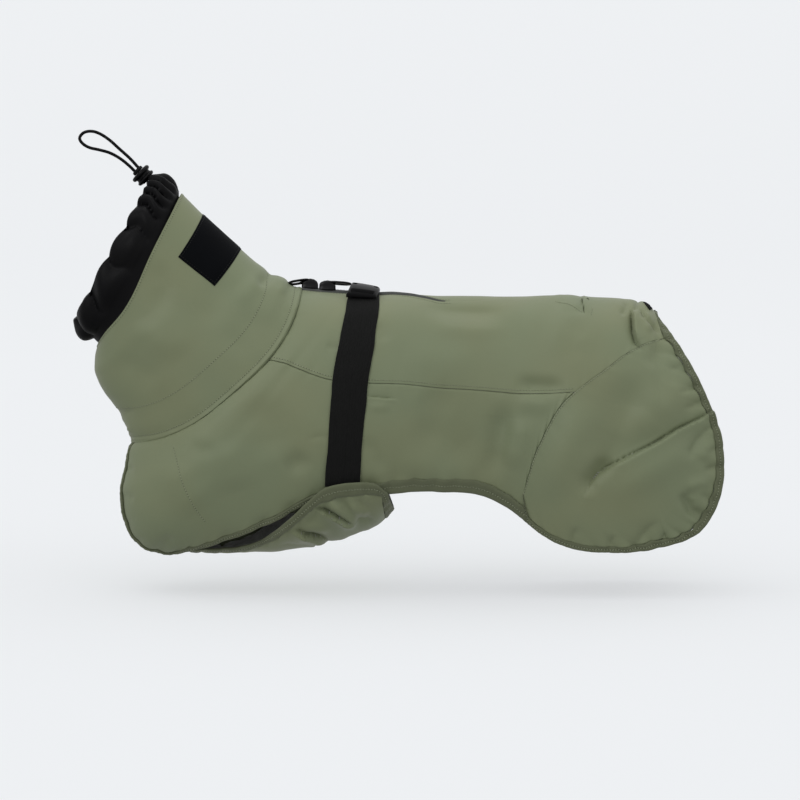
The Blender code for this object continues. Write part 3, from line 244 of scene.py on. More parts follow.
SOFT, SHARP, STEP = "soft", "sharp", "step"  # a rounded fold, a creased one, and a tuck with a lip
TORSO_FOLDS = (
    # kind, rise, width on the left of its way, width on the right, then x, z along it
    # The haunch: one deep tuck with a shadow above and a light lip below
    (STEP, 4.2, 9, 14, (376, -94), (372, -97), (337, -119), (312, -131), (291, -144),
     (263, -158), (242, -169), (232, -176), (225, -184.5), (219, -199), (217, -216)),
    (SHARP, -2.6, 1.4, 1, (372, -97.5), (340, -116.5), (312, -130.4), (291, -143.4), (263, -157.4),
     (242, -168.4), (231, -176), (222, -188), (216, -204)),
    (SOFT, -6, 7, 9, (252, -160), (236, -170), (226, -182), (222, -200)),
    (SOFT, -8.5, 17, 24, (266, -70), (262, -106), (250, -136), (232, -170)),
    (SOFT, -4, 10, 15, (310, -124), (276, -142), (246, -158), (224, -190)),
    (SOFT, 4, 16, 14, (340, -140), (300, -164), (264, -186), (240, -206)),
    (SOFT, 3.4, 14, 18, (322, -80), (308, -100), (286, -118)),
    (SOFT, 4.6, 16, 16, (216, -98), (208, -136), (194, -170), (188, -210)),
    # Puckers that the rump's binding draws in
    (SHARP, -4.6, 4, 5, (344, -130), (332, -142), (326, -152), (325, -164)),
    (SHARP, -4.2, 3, 5, (360, -124), (344, -131), (335, -136)),
    (SHARP, -4.4, 4, 3, (364, -168), (349, -168), (336, -173)),
    (SHARP, -3.2, 3, 3, (364, -150), (350, -150), (342, -154)),
    (SOFT, -5.4, 5, 6, (346, -226), (326, -212), (320, -200), (330, -190)),
    (SHARP, -2.2, 3, 4, (352, -208), (343, -199), (334, -195)),
    (SHARP, -4.2, 4, 6, (262, -258), (276, -238), (284, -229), (296, -220)),
    (SHARP, -3, 3, 3, (204, -251), (209, -236), (214, -226)),
    (SHARP, -3.4, 3, 3, (242, -258), (246, -242), (250, -234)),
    (SHARP, -3.6, 3, 3, (291, -257), (297, -240), (304, -231)),
    (SHARP, -3.4, 2.5, 4, (340, -83), (324, -92), (310, -96)),
    (SHARP, -3.6, 3, 4, (348, -96), (328, -108), (316, -111)),
    (SHARP, -1.8, 2.5, 3, (322, -64), (312, -70), (302, -72)),
    (SOFT, 2.2, 5, 6, (347, -184), (334, -184), (318, -190)),
    (SOFT, 2, 6, 6, (345, -142), (338, -154), (336, -164)),
    (SOFT, -2, 9, 9, (296, -46), (290, -58), (280, -70)),
    # The flank and the yoke's seam
    (SOFT, -4.6, 7, 9, (148, -84), (168, -87), (188, -88), (204, -91)),
    (SOFT, 2.2, 9, 9, (150, -102), (172, -106), (190, -110)),
    (SOFT, -7, 10, 13, (142, -100), (140, -120), (134, -146), (128, -186)),
    (SOFT, 3, 11, 14, (160, -116), (156, -142), (148, -174)),
    (SOFT, -5, 26, 20, (46, -122), (84, -138), (116, -168)),
    (SOFT, 2.6, 16, 18, (30, -158), (66, -174), (104, -188)),
    (SOFT, -1.6, 12, 12, (18, -170), (48, -184), (80, -196)),
    (SOFT, 2.4, 18, 22, (36, -58), (78, -66), (120, -62)),
    (SOFT, -2.2, 16, 16, (58, -92), (70, -104), (96, -104)),
    (SOFT, 2, 18, 18, (176, -30), (210, -40), (232, -56)),
    (SOFT, -1.8, 12, 12, (214, -18), (208, -44), (216, -68)),
    # Beside the strap
    (STEP, 1.3, 3.5, 4, (36, -101.5), (18, -100), (0, -98.5)),
    (SOFT, 1.3, 5, 5, (4, -107), (16, -109), (30, -107)),
    (SHARP, -2, 3, 4, (-20, -49), (-29, -50), (-38, -48)),
    (SHARP, -1.3, 2.4, 3, (-28, -140), (-42, -138), (-56, -142)),
    (SOFT, -1.8, 7, 9, (0, -136), (10, -152), (20, -176)),
    (SOFT, -1.4, 6, 6, (12, -26), (20, -34), (22, -46)),
    # Along the back, just under the spine
    (SOFT, -4.2, 6, 9, (50, -9), (92, -13), (150, -15)),
    (SOFT, 1.2, 6, 8, (60, -30), (110, -34), (150, -32)),
    # The back's welt
    (STEP, 1.7, 3, 12, (218.4, 4), (219, -4), (220.4, -15), (221, -19)),
    (SOFT, 1.2, 6, 6, (196, -6), (208, -9), (218, -12)),
    # The tail: a deep upright crease and the small folds of the casing
    (SHARP, -4.5, 1.6, 1.4, (267.5, -8), (268.4, -24), (269, -40)),
    (STEP, 4.6, 6, 6, (267, -6), (268, -18), (268.6, -34), (271, -44), (278, -54)),
    (SHARP, -4.6, 2.4, 3, (264, 0), (262, -10), (256, -20)),
    (SHARP, -5.2, 2.2, 2.4, (277, 2), (272, -10), (267, -16)),
    (SOFT, 2.4, 4, 5, (280, -14), (284, -24), (288, -36)),
    (SHARP, -7.4, 1.4, 1.8, (275, -6), (280, -18.5), (286, -26), (292, -32), (298, -38)),
    # Shoulder and chest
    (SOFT, -3.4, 20, 22, (-112, -98), (-96, -128), (-86, -164)),
    (SOFT, 2.6, 20, 20, (-188, -160), (-176, -190), (-160, -216)),
    (SOFT, 2.4, 22, 22, (-140, -140), (-130, -170), (-124, -196)),
    (SOFT, -4, 9, 12, (-52, -158), (-66, -166), (-78, -172)),
    (SOFT, -1.6, 7, 9, (-176, -142), (-160, -152), (-140, -152)),
    (SHARP, -2, 3, 4, (-242, -168), (-236, -172), (-226, -170)),
    (SHARP, -1.8, 3, 4, (-244, -200), (-236, -198), (-226, -202)),
    (SOFT, -2, 6, 6, (-206, -258), (-198, -246), (-188, -236)),
    (SHARP, -3, 3, 4, (-142, -252), (-136, -238), (-128, -230)),
    (SHARP, -3, 3, 4, (-105, -238), (-102, -224), (-94, -216)),
    (SHARP, -2.6, 3, 4, (-75, -223), (-72, -209), (-66, -200)),
)
COLLAR_FOLDS = (
    (SOFT, -3.4, 5, 6, (-88, 30), (-94, 20), (-106, 8)),
    (SOFT, 2, 9, 9, (-100, 22), (-112, 8), (-126, -8)),
    (SOFT, 1.2, 5, 5, (-80, 22), (-80, 10), (-84, 0)),
    (SOFT, -2.6, 16, 18, (-100, -10), (-116, -36), (-134, -60)),
    (SOFT, 2.4, 18, 18, (-214, -16), (-196, -44), (-180, -64)),
    (SOFT, -2.2, 14, 16, (-130, 24), (-146, -2), (-158, -34)),
    (SOFT, -2.2, 12, 14, (-250, -60), (-226, -70), (-200, -88)),
    (SOFT, 1.8, 12, 12, (-240, -30), (-214, -38), (-190, -56)),
    (SOFT, -1.8, 9, 10, (-206, 40), (-196, 10), (-204, -20)),
    (SHARP, -1.6, 3, 4, (-250, -112), (-238, -116), (-226, -112)),
    (STEP, 2.6, 3.5, 3.5, (-250, -126), (-240, -131), (-232, -137)),
    (SOFT, -4.5, 5, 5, (-246, -128), (-236, -136)),
)
BELLY_FOLDS = (
    (SOFT, 6.5, 5, 7, (-38, -198), (-24, -211), (-4, -232)),
    (STEP, 5.2, 7, 6, (-4, -228), (-20, -221), (-38, -213), (-52, -211)),
    (STEP, 5.6, 9, 7, (-30, -247), (-46, -241), (-62, -234), (-74, -231)),
    (SHARP, -3.4, 4, 5, (-88, -247), (-66, -249), (-44, -248)),
    (SHARP, -6, 6, 6, (-10, -223), (2, -224), (14, -222)),
    (SHARP, -4.2, 3.5, 4, (-62, -226), (-50, -221), (-42, -206)),
    (SOFT, 4, 7, 6, (-72, -240), (-50, -230), (-28, -232)),
    (SOFT, 3.4, 5, 5, (-18, -204), (-4, -212), (10, -214)),
    (SHARP, -3.6, 4, 4, (-34, -197), (-20, -205), (-8, -216)),
    (SHARP, -2.8, 3, 3, (-6, -198), (-2, -206), (2, -214)),
    (SHARP, -2.6, 3, 3, (8, -204), (4, -210), (-4, -218)),
    (SOFT, -2.2, 8, 8, (-120, -252), (-104, -248), (-88, -238)),
    (SOFT, -2.4, 8, 9, (-24, -240), (-10, -236), (6, -232)),
)


# ---------------- settings


def length(name, description, usual, least, most):
    """A length that can be changed, given here in millimetres."""
    return FloatProperty(
        name=name, description=description, default=usual * MM, min=least * MM, max=most * MM,
        subtype="DISTANCE", unit="LENGTH",
    )


def colour(name, description, default):
    return FloatVectorProperty(
        name=name, description=description, default=default, subtype="COLOR", size=3, min=0, max=1,
    )


def amount(name, description, usual, most):
    return FloatProperty(name=name, description=description, default=usual, min=0, max=most)


class RaincoatSizes(bpy.types.PropertyGroup):
    """The sizes that change how the coat is sewn."""

    cloth_wall: length("Cloth", "Thickness of the coat's cloth", 1.4, 1, 3)
    cell: length("Cell", "Size of the cloth's mesh cells", 2.4, 1.2, 10)
    stitch_pitch: length("Stitch pitch", "From one topstitch to the next", 2.9, 2, 6)
    thread: length("Thread", "Radius of the sewing thread", 0.3, 0.1, 0.6)
    rib_pitch: length("Rib pitch", "From one rib of the elastic strap to the next", 2.6, 1.5, 5)
    tooth_pitch: length("Zip pitch", "From one turn of the zip's coil to the next", 1.5, 1, 3)


class RaincoatColours(bpy.types.PropertyGroup):
    """The colours of the cloth, trim and hardware."""

    cloth: colour("Cloth", "Olive rain cloth", (0.184, 0.212, 0.122))
    lining: colour("Lining", "The cloth's inner face", (0.30, 0.305, 0.29))
    binding: colour("Binding", "Bias binding", (0.112, 0.127, 0.070))
    thread: colour("Thread", "Topstitching", (0.30, 0.33, 0.22))
    gaiter: colour("Gaiter", "Gathered neck tube", (0.0022, 0.0022, 0.0026))
    webbing: colour("Webbing", "Elastic strap", (0.0078, 0.008, 0.0076))
    plastic: colour("Plastic", "Buckle and cord lock", (0.0014, 0.0014, 0.0016))
    zip_tape: colour("Zip tape", "Cloth of the zip", (0.075, 0.078, 0.074))
    zip_paint: colour("Zip paint", "Sliders and pull tabs", (0.0016, 0.0016, 0.002))
    patch: colour("Patch", "Bare woven label", (0.0016, 0.0021, 0.003))


class RaincoatStudio(bpy.types.PropertyGroup):
    """The camera, the lights and the floor."""

    distance: length("Camera distance", "From the camera to the coat", 8000, 2000, 20000)
    frame_width: length("Frame width", "How much of the coat's plane the picture takes in", 800, 300, 3000)
    elevation: FloatProperty(
        name="Camera elevation", description="How far the camera stands above level",
        default=math.radians(1.2), min=0, max=math.radians(30), subtype="ANGLE", unit="ROTATION",
    )
    floor: length("Floor height", "Height of the studio floor", -294, -1000, -260)
    slope: amount("Floor slope", "How much the paper under the coat rises from front to back", 0.117, 0.3)
    sky: amount("Light from above", "Strength of the soft light from above", 0.92, 3)
    ground: amount("Light from below", "Strength of the soft light from below", 0.46, 3)
    paper: amount("Paper glow", "How much the backdrop shines by itself, which keeps it even", 0.524, 1)
    key: amount("Key", "Power of the large light above and in front, in watts", 13, 500)


# ---------------- curves and forms


def smooth_rows(table, at):
    """The table's columns at fractional rows, on smooth curves that never swing past a row."""
    rows = np.array(table, float)
    at = np.clip(np.asarray(at, float), 0, len(rows) - 1)
    steps = np.diff(rows, axis=0)
    before = np.vstack([steps[:1], steps])
    after = np.vstack([steps, steps[-1:]])
    product = before * after
    total = before + after
    safe = np.where(np.abs(total) > 1e-9, total, 1)
    slopes = np.where(product > 0, 2 * product / safe, 0)
    first = np.minimum(at.astype(int), len(rows) - 2)
    t = (at - first)[..., None]
    a, b = rows[first], rows[first + 1]
    return (
        a * (1 + 2 * t) * (1 - t) ** 2
        + slopes[first] * t * (1 - t) ** 2
        + b * t**2 * (3 - 2 * t)
        + slopes[first + 1] * t**2 * (t - 1)
    )


def run_along(points):
    """How far along its line each point lies."""
    return np.concatenate([[0], np.cumsum(np.linalg.norm(np.diff(points, axis=0), axis=1))])


def at_runs(at, run, rows):
    """The rows of numbers at these runs, in proportion between the rows at the runs given."""
    return np.stack([np.interp(at, run, rows[:, k]) for k in range(rows.shape[1])], axis=1)


def along_line(line, shares):
    """Points at these shares of the length of a line through the table's places."""
    line = smooth_rows(line, np.linspace(0, len(line) - 1, 20 * len(line)))
    run = run_along(line)
    return at_runs(np.asarray(shares) * run[-1], run, line)


def smooth_path(spots, count):
    """Points evenly spaced along a smooth curve that goes through every spot."""
    spots = np.array(spots, float)
    ends = np.vstack([2 * spots[0] - spots[1], spots, 2 * spots[-1] - spots[-2]])
    before, a, b, after = ends[:-3], ends[1:-2], ends[2:-1], ends[3:]
    t = np.linspace(0, 1, 30, endpoint=False)[:, None, None]
    curve = 0.5 * (
        2 * a + (b - before) * t + (2 * before - 5 * a + 4 * b - after) * t**2
        + (3 * a - before - 3 * b + after) * t**3
    )
    curve = np.vstack([curve.transpose(1, 0, 2).reshape(-1, spots.shape[1]), spots[-1]])
    run = run_along(curve)
    return at_runs(np.linspace(0, run[-1], count), run, curve)


def turns(count):
    """Angles evenly spaced round a circle."""
    return np.linspace(0, 2 * math.pi, count, endpoint=False)


def unit(vectors):
    return vectors / np.maximum(np.linalg.norm(vectors, axis=-1, keepdims=True), 1e-12)


class Surface:
    """What the coat's forms share: each has bare places, and the ways that they face."""

    def laid(self, first, second):
        return self.bare(first, second), self.facing(first, second)


class Form(Surface):
    """A surface through a table's sections, addressed by section and by angle: 0 at the spine and
    180 degrees at the keel."""

    def __init__(self, table):
        self.table = table
        self.outward = 1 if table[-1][0] > table[0][0] else -1

    def bare(self, section, angle):
        row = smooth_rows(self.table, section)
        spine, keel = row[..., 0:2], row[..., 2:4]
        half, sag, fullness = row[..., 4], row[..., 5], row[..., 6]
        share = (1 - np.cos(angle)) / 2
        down = keel - spine
        length = np.linalg.norm(down, axis=-1)
        hang = np.stack([-down[..., 1], down[..., 0]], axis=-1) / length[..., None]
        bulge = sag * (1 - np.abs(2 * share - 1) ** 3)
        side = spine + down * share[..., None] + hang * bulge[..., None]
        swell = half * np.sign(np.sin(angle)) * np.abs(np.sin(angle)) ** fullness
        return np.stack([side[..., 0], -swell, side[..., 1]], axis=-1)

    def facing(self, section, angle):
        """The surface's own outward direction at these places."""
        tiny = 1e-3
        last = len(self.table) - 1
        level = np.where(np.abs(np.sin(angle)) < 0.02, 0.02, 0)
        above = self.bare(np.clip(section + tiny, 0, last), angle + level)
        along = above - self.bare(np.clip(section - tiny, 0, last), angle + level)
        round_ = self.bare(section, angle + 0.02) - self.bare(section, angle - 0.02)
        facing = self.outward * unit(np.cross(round_, along))
        facing[..., 1] = np.where(np.abs(np.sin(angle)) < 1e-6, 0, facing[..., 1])
        return facing

    def find(self, x, z):
        """The section and angle of a place seen from the side."""
        if not hasattr(self, "grid"):
            self.sections = np.linspace(0, len(self.table) - 1, 4 * len(self.table))
            self.angles = np.radians(np.linspace(1, 179, 90))
            self.grid = self.bare(*np.meshgrid(self.sections, self.angles, indexing="ij"))
        miss = np.hypot(self.grid[..., 0] - x, self.grid[..., 2] - z)
        i, k = np.unravel_index(np.argmin(miss), miss.shape)
        at = np.array((self.sections[i], self.angles[k]))
        step = 1e-4
        for _ in range(8):
            trio = self.bare(at[0] + np.array((0, step, 0)), at[1] + np.array((0, 0, step)))[:, [0, 2]]
            ways = (trio[1:] - trio[0]) / step
            way = np.linalg.lstsq(ways.T, np.array((x, z)) - trio[0], rcond=None)[0]
            at = at + np.clip(way, -0.5, 0.5)
            at[0] = min(max(at[0], 0), len(self.table) - 1.001)
            at[1] = min(max(at[1], 0.01), math.pi - 0.01)
        return at

    def traced(self, line, shares):
        """The sections and angles of points at these shares of a line that is seen from the side."""
        return np.array([self.find(*spot) for spot in along_line(line, shares)])

    def angle_at(self, section, breadth, low=False):
        """The angle where the section is this far from the middle, above or below its widest."""
        row = smooth_rows(self.table, section)
        angle = np.arcsin((breadth / row[..., 4]) ** (1 / row[..., 6]))
        return math.pi - angle if low else angle

    def crossing(self, section, line):
        """The angle where a section crosses a line that is seen from the side."""
        angles = np.radians(np.linspace(2, 179.5, 356))
        ring = self.bare(np.full(angles.shape, section), angles)[:, [0, 2]]
        starts, ways = line[:-1, None], (line[1:] - line[:-1])[:, None]
        side = (ring - starts)[..., 0] * ways[..., 1] - (ring - starts)[..., 1] * ways[..., 0]
        for seg, k in zip(*np.nonzero(side[:, :-1] * side[:, 1:] <= 0)):
            t = side[seg, k] / (side[seg, k] - side[seg, k + 1])
            spot = ring[k] + t * (ring[k + 1] - ring[k])
            way = line[seg + 1] - line[seg]
            run = (spot - line[seg]) @ way / (way @ way)
            if -1e-6 <= run <= 1 + 1e-6:
                return angles[k] + t * (angles[1] - angles[0])
        raise ValueError(f"section {section} doesn't cross the line")


class BellyForm(Surface):
    """The belly sling's surface. Across runs from -1 at its left edge to 1 at its right one."""

    def bare(self, section, across):
        row = smooth_rows(BELLY, section)
        bend = math.pi / 2 * BELLY_ROUND
        lift = (1 - np.cos(across * bend)) / (1 - math.cos(bend))
        spot = row[..., 0:2] + (row[..., 2:4] - row[..., 0:2]) * lift[..., None]
        aside = row[..., 4] * np.sin(across * bend) / math.sin(bend)
        rise, front, rear = CURL
        x = spot[..., 0]
        curl = rise * ramp(x - front, 28) * ramp(rear - x, 34) * ramp(across - 0.1, 0.9)
        return np.stack([x, aside, spot[..., 1] + curl], axis=-1)

    def facing(self, section, across):
        tiny = 1e-3
        after = self.bare(np.minimum(section + tiny, len(BELLY) - 1), across)
        before = self.bare(np.maximum(section - tiny, 0), across)
        round_ = self.bare(section, across + tiny) - self.bare(section, across - tiny)
        return -unit(np.cross(after - before, round_))


def mirrored(points):
    return points * np.array((1, -1, 1))


def runs(points, axis):
    """How far each point lies along its row (axis 1) or its column (axis 0)."""
    steps = np.linalg.norm(np.diff(points, axis=axis), axis=-1)
    pad = [(0, 0), (0, 0)]
    pad[axis] = (1, 0)
    return np.cumsum(np.pad(steps, pad), axis=axis)


# ---------------- folds and puckers


def ramp(share, over):
    t = np.clip(share / over, 0, 1)
    return t * t * (3 - 2 * t)


def between(value, low, high, soft):
    """1 between low and high and 0 outside, with soft ends."""
    return ramp(value - low, soft) * ramp(high - value, soft)


def fold_rise(x, z, folds):
    """How far the folds raise (+) or sink (-) the cloth at a place seen from the side."""
    total = np.zeros(np.shape(x))
    for kind, rise, left, right, *line in folds:
        line = np.array(line, float)
        reach = 4 * max(left, right)
        near = (x > line[:, 0].min() - reach) & (x < line[:, 0].max() + reach)
        near &= (z > line[:, 1].min() - reach) & (z < line[:, 1].max() + reach)
        if not near.any():
            continue
        px, pz = x[near], z[near]
        ways = np.diff(line, axis=0)
        lengths = np.hypot(ways[:, 0], ways[:, 1])
        before = np.concatenate([[0], np.cumsum(lengths)])
        far = np.full(px.shape, 1e9)
        side = np.zeros(px.shape)
        share = np.zeros(px.shape)
        for start, way, length, run in zip(line, ways, lengths, before):
            t = np.clip(((px - start[0]) * way[0] + (pz - start[1]) * way[1]) / length**2, 0, 1)
            dx, dz = px - start[0] - t * way[0], pz - start[1] - t * way[1]
            here = np.hypot(dx, dz)
            nearer = here < far
            side = np.where(nearer, np.sign(way[0] * dz - way[1] * dx), side)
            share = np.where(nearer, (run + t * length) / before[-1], share)
            far = np.where(nearer, here, far)
        width = np.where(side > 0, left, right)
        fade = between(share, 0, 1, 0.35)
        if kind == SOFT:
            shape = np.exp(-((far / width) ** 2))
        elif kind == SHARP:
            shape = np.exp(-np.sqrt(far**2 + 1) / width)
        else:
            shape = side * np.tanh(far / 0.6) * np.exp(-((far / width) ** 1.3))
            shape = shape - 0.7 * np.exp(-((far / 1.1) ** 2))
        total[near] += rise * fade * shape
    return total


def other_side(folds):
    """The same kinds of fold for the side that the photo doesn't show, moved and made uneven."""
    made = []
    for n, (kind, rise, left, right, *line) in enumerate(folds):
        shift = np.array((7 * math.sin(2.1 * n + 0.4), 5 * math.cos(1.7 * n)))
        line = [tuple(np.array(spot) + shift) for spot in line]
        made.append((kind, rise * (0.8 + 0.25 * math.sin(3.3 * n)), left, right, *line))
    return tuple(made)


def gathered(run, wavelength, seed):
    """Like uneven, with narrow valleys between rounded ridges, as gathered cloth has."""
    turn = math.pi * run / wavelength + 1.1 * np.sin(run / (2.7 * wavelength) + seed) + seed
    size = 0.65 + 0.35 * np.sin(run / (1.9 * wavelength) + 2 * seed)
    return (1.6 * np.abs(np.sin(turn)) - 1) * size


def uneven(run, wavelength, seed):
    """A wave between about -1 and 1 that never quite repeats."""
    turn = 2 * math.pi * run / wavelength
    return (
        0.5 * np.sin(turn + seed)
        + 0.32 * np.sin(1.618 * turn + 2.3 * seed + 1)
        + 0.25 * np.sin(0.437 * turn + 4.1 * seed + 2)
    )


def slack(x, z, seed):
    """The slow rise and fall of cloth that hangs without a wearer."""
    return (
        0.55 * np.sin(x / 31 + 0.6 * np.sin(z / 37 + seed) + seed)
        + 0.45 * np.sin(z / 23 + 0.8 * np.sin(x / 41) + 2 * seed)
        + 0.2 * np.sin((x + 1.3 * z) / 11 + 3 * seed)
    )


# edge: sink at the very edge, pucker height, wavelength, how far the puckers reach, width of the roll
EDGES = {
    "lap": (0.15, 0.4, 17, 7, 0.6),
    "under": (0.9, 0.4, 17, 7, 1.1),
    "neck": (2, 0.3, 18, 7, 2.2),
    "collar": (0, 0.35, 21, 12, 1),
    "bound": (2, 1.9, 19, 8, 1.4),
    "rump": (2, 2.1, 17, 9, 1.4),
}
NEAR_EDGE = np.array((0, 0.5, 1.1, 1.9, 3, 4.4))


def edge_rise(kind, distance, run, seed):
    sink, pucker, wavelength, reach, roll = EDGES[kind]
    wave = gathered if kind in ("bound", "rump") else uneven
    puckers = pucker * wave(run, wavelength, seed) * np.exp(-distance / reach)
    return puckers - sink * np.exp(-((distance / roll) ** 2))


def rows_between(form, starts, ends, cell):
    """Places on rows that run from one line to another, closer together near both ends."""
    t = np.linspace(0, 1, 9)[:, None]
    rows = starts[:, None] + (ends - starts)[:, None] * t
    lengths = runs(form.bare(rows[..., 0], rows[..., 1]), 1)[:, -1]
    count = max(4, int(lengths.max() / cell))
    places = []
    for start, end, length in zip(starts, ends, lengths):
        near = NEAR_EDGE / max(length, 3.2 * NEAR_EDGE[-1])
        middle = np.linspace(near[-1], 1 - near[-1], count)[1:-1]
        shares = np.concatenate([near, middle, 1 - near[::-1]])
        places.append(start + (end - start) * shares[:, None])
    return np.array(places)


class Panel:
    """A laid piece of cloth: its outer and inner faces, and how far each point lies from its edges."""

    def __init__(self, form, places, folds, edges, wall, out=0, seed=0, slackness=0.9):
        section, angle = places[..., 0], places[..., 1]
        self.base, self.facing = form.laid(section, angle)
        self.along, self.down = runs(self.base, 1), runs(self.base, 0)
        x, z = self.base[..., 0], self.base[..., 2]
        rise = out + fold_rise(x, z, folds) + slackness * slack(x, z, seed)
        for n, (edge, kind) in enumerate(edges.items()):
            distance, run = self.from_edge(edge)
            rise = rise + edge_rise(kind, distance, run, seed + n)
        self.rise = rise
        self.outer = self.base + self.facing * rise[..., None]
        self.inner = self.base + self.facing * (rise - wall)[..., None]

    def from_edge(self, edge):
        """The distance from an edge, and the run along it."""
        if edge == "start":
            return self.along, self.down[:, :1]
        if edge == "end":
            return self.along[:, -1:] - self.along, self.down[:, -1:]
        if edge == "first":
            return self.down, self.along[:1]
        return self.down[-1:] - self.down, self.along[-1:]

    def line(self, edge, distance, lift=0.12):
        """Points this far from an edge on the outer face, and the way they face."""
        far = self.from_edge(edge)[0]
        outer, facing = self.outer, self.facing
        if edge in ("first", "last"):
            far, outer, facing = far.T, outer.transpose(1, 0, 2), facing.transpose(1, 0, 2)
        if edge in ("end", "last"):
            far, outer, facing = far[:, ::-1], outer[:, ::-1], facing[:, ::-1]
        keep = far[:, -1] > 2 * distance
        spots, ways = [], []
        for away, points, normals in zip(far[keep], outer[keep], facing[keep]):
            spots.append([np.interp(distance, away, points[:, k]) for k in range(3)])
            ways.append([np.interp(distance, away, normals[:, k]) for k in range(3)])
        spots, ways = np.array(spots), unit(np.array(ways))
        return spots + ways * lift, ways


# ---------------- meshes


def collection():
    found = bpy.data.collections.get("dog_raincoat_looks")
    if not found:
        found = bpy.data.collections.new("dog_raincoat_looks")
        bpy.context.scene.collection.children.link(found)
    return found


def add_object(name, data, group):
    made = bpy.data.objects.new(name, data)
    group.objects.link(made)
    return made


def settle(mesh, angle=50):
    """Turns every face outwards and shades the mesh smooth, apart from edges sharper than this."""
    work = bmesh.new()
    work.from_mesh(mesh)
    loose = [vert for vert in work.verts if not vert.link_faces]
    bmesh.ops.delete(work, geom=loose, context="VERTS")
    bmesh.ops.recalc_face_normals(work, faces=work.faces)
    work.to_mesh(mesh)
    work.free()
    mesh.shade_smooth()
    mesh.set_sharp_from_angle(angle=math.radians(angle))
    return mesh


def add_piece(name, mesh, finishes, nodes=(), body="coat"):
    piece = add_object(name, mesh, collection())
    for finish in finishes:
        mesh.materials.append(finish_of(finish))
    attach(piece, body)
    if nodes:
        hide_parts(*nodes)
    return piece


def mesh_of(name, points, faces, lengths=None):
    """A mesh from points in millimetres. Lengths say where in the cloth each face's corners lie."""
    mesh = bpy.data.meshes.new(name)
    mesh.from_pydata((points.reshape(-1, 3) * MM).tolist(), [], faces)
    if lengths is not None:
        layer = mesh.uv_layers.new(name="UVMap")
        layer.uv.foreach_set("vector", lengths.astype(np.float32).ravel())
    return mesh


def corners_of(row, column, after, beside, columns):
    """The four corners of each cell of a grid, numbered along its rows."""
    low, high = row * columns, after * columns
    return np.stack([low + column, low + beside, high + beside, high + column], 1)


def grid_lengths(grid):
    """How far each point of a grid lies along its row and its column, in metres, point by point."""
    return np.stack([(runs(grid, 1) * MM).ravel(), (runs(grid, 0) * MM).ravel()], 1)


def shell(outer, inner, closed=False, skip=None, lining=True):
    """A closed wall between two grids of points. Closed joins the last column to the first, and
    cells where skip is true are left open."""
    rows, columns = outer.shape[:2]
    count = rows * columns
    across = columns if closed else columns - 1
    i, k = np.meshgrid(np.arange(rows - 1), np.arange(across), indexing="ij")
    if skip is not None:
        i, k = i[~skip], k[~skip]
    i, k = i.ravel(), k.ravel()
    cell = corners_of(i, k, i + 1, (k + 1) % columns, columns)
    around = np.roll(cell, -1, axis=1)
    there, back = (cell * count + around).ravel(), (around * count + cell).ravel()
    lone = ~np.isin(there, back)
    a, b = cell.ravel()[lone], around.ravel()[lone]
    rim = np.stack([b, a, a + count, b + count], 1)
    faces = np.concatenate([cell, cell[:, ::-1] + count, rim])

    wide = outer if not closed else np.concatenate([outer, outer[:, :1]], 1)
    at = corners_of(i, k, i + 1, k + 1, wide.shape[1])
    own = np.arange(count)
    plain = (own // columns) * wide.shape[1] + own % columns
    rim_at = plain[np.stack([b, a, a, b], 1)]
    corners = np.concatenate([at.ravel(), at[:, ::-1].ravel(), rim_at.ravel()])
    points = np.concatenate([outer.reshape(-1, 3), inner.reshape(-1, 3)])
    mesh = mesh_of("cloth", points, faces.tolist(), grid_lengths(wide)[corners])
    if lining:
        inside = np.zeros(len(faces), np.int32)
        inside[len(cell): 2 * len(cell)] = 1
        mesh.polygons.foreach_set("material_index", inside)
    return settle(mesh)


def strip(points):
    """A solid strip from a grid of rows, each a closed loop of points round its section."""
    rows, columns = points.shape[:2]
    i, k = (side.ravel() for side in np.meshgrid(np.arange(rows - 1), np.arange(columns), indexing="ij"))
    faces = corners_of(i, k, i + 1, (k + 1) % columns, columns).tolist()
    faces.append(list(range(columns)))
    faces.append(list(range((rows - 1) * columns, rows * columns)))
    lengths = grid_lengths(np.concatenate([points, points[:, :1]], 1))
    sides = corners_of(i, k, i + 1, k + 1, columns + 1).ravel()
    first_cap = np.arange(columns)
    last_cap = (rows - 1) * (columns + 1) + first_cap
    return settle(mesh_of("strip", points, faces, lengths[np.concatenate([sides, first_cap, last_cap])]))


THREAD_SIDES = 4


def threads(paths, ups, radius):
    """Short capped tubes along many paths of equal point count."""
    paths, ups = np.asarray(paths), np.asarray(ups)
    count, steps = paths.shape[:2]
    ways = unit(np.gradient(paths, axis=1))
    across = unit(np.cross(ways, ups))[:, :, None]
    up = unit(np.cross(across[:, :, 0], ways))[:, :, None]
    turn = turns(THREAD_SIDES)[None, None, :, None]
    points = paths[:, :, None] + (across * np.cos(turn) + up * np.sin(turn)) * radius
    faces = []
    for first in range(0, count * steps * THREAD_SIDES, steps * THREAD_SIDES):
        for low in range(first, first + (steps - 1) * THREAD_SIDES, THREAD_SIDES):
            high = low + THREAD_SIDES
            for k in range(THREAD_SIDES):
                j = (k + 1) % THREAD_SIDES
                faces.append((low + k, low + j, high + j, high + k))
        last = first + (steps - 1) * THREAD_SIDES
        faces.append(tuple(range(first, first + THREAD_SIDES)))
        faces.append(tuple(range(last, last + THREAD_SIDES)))
    return settle(mesh_of("threads", points, faces), 80)


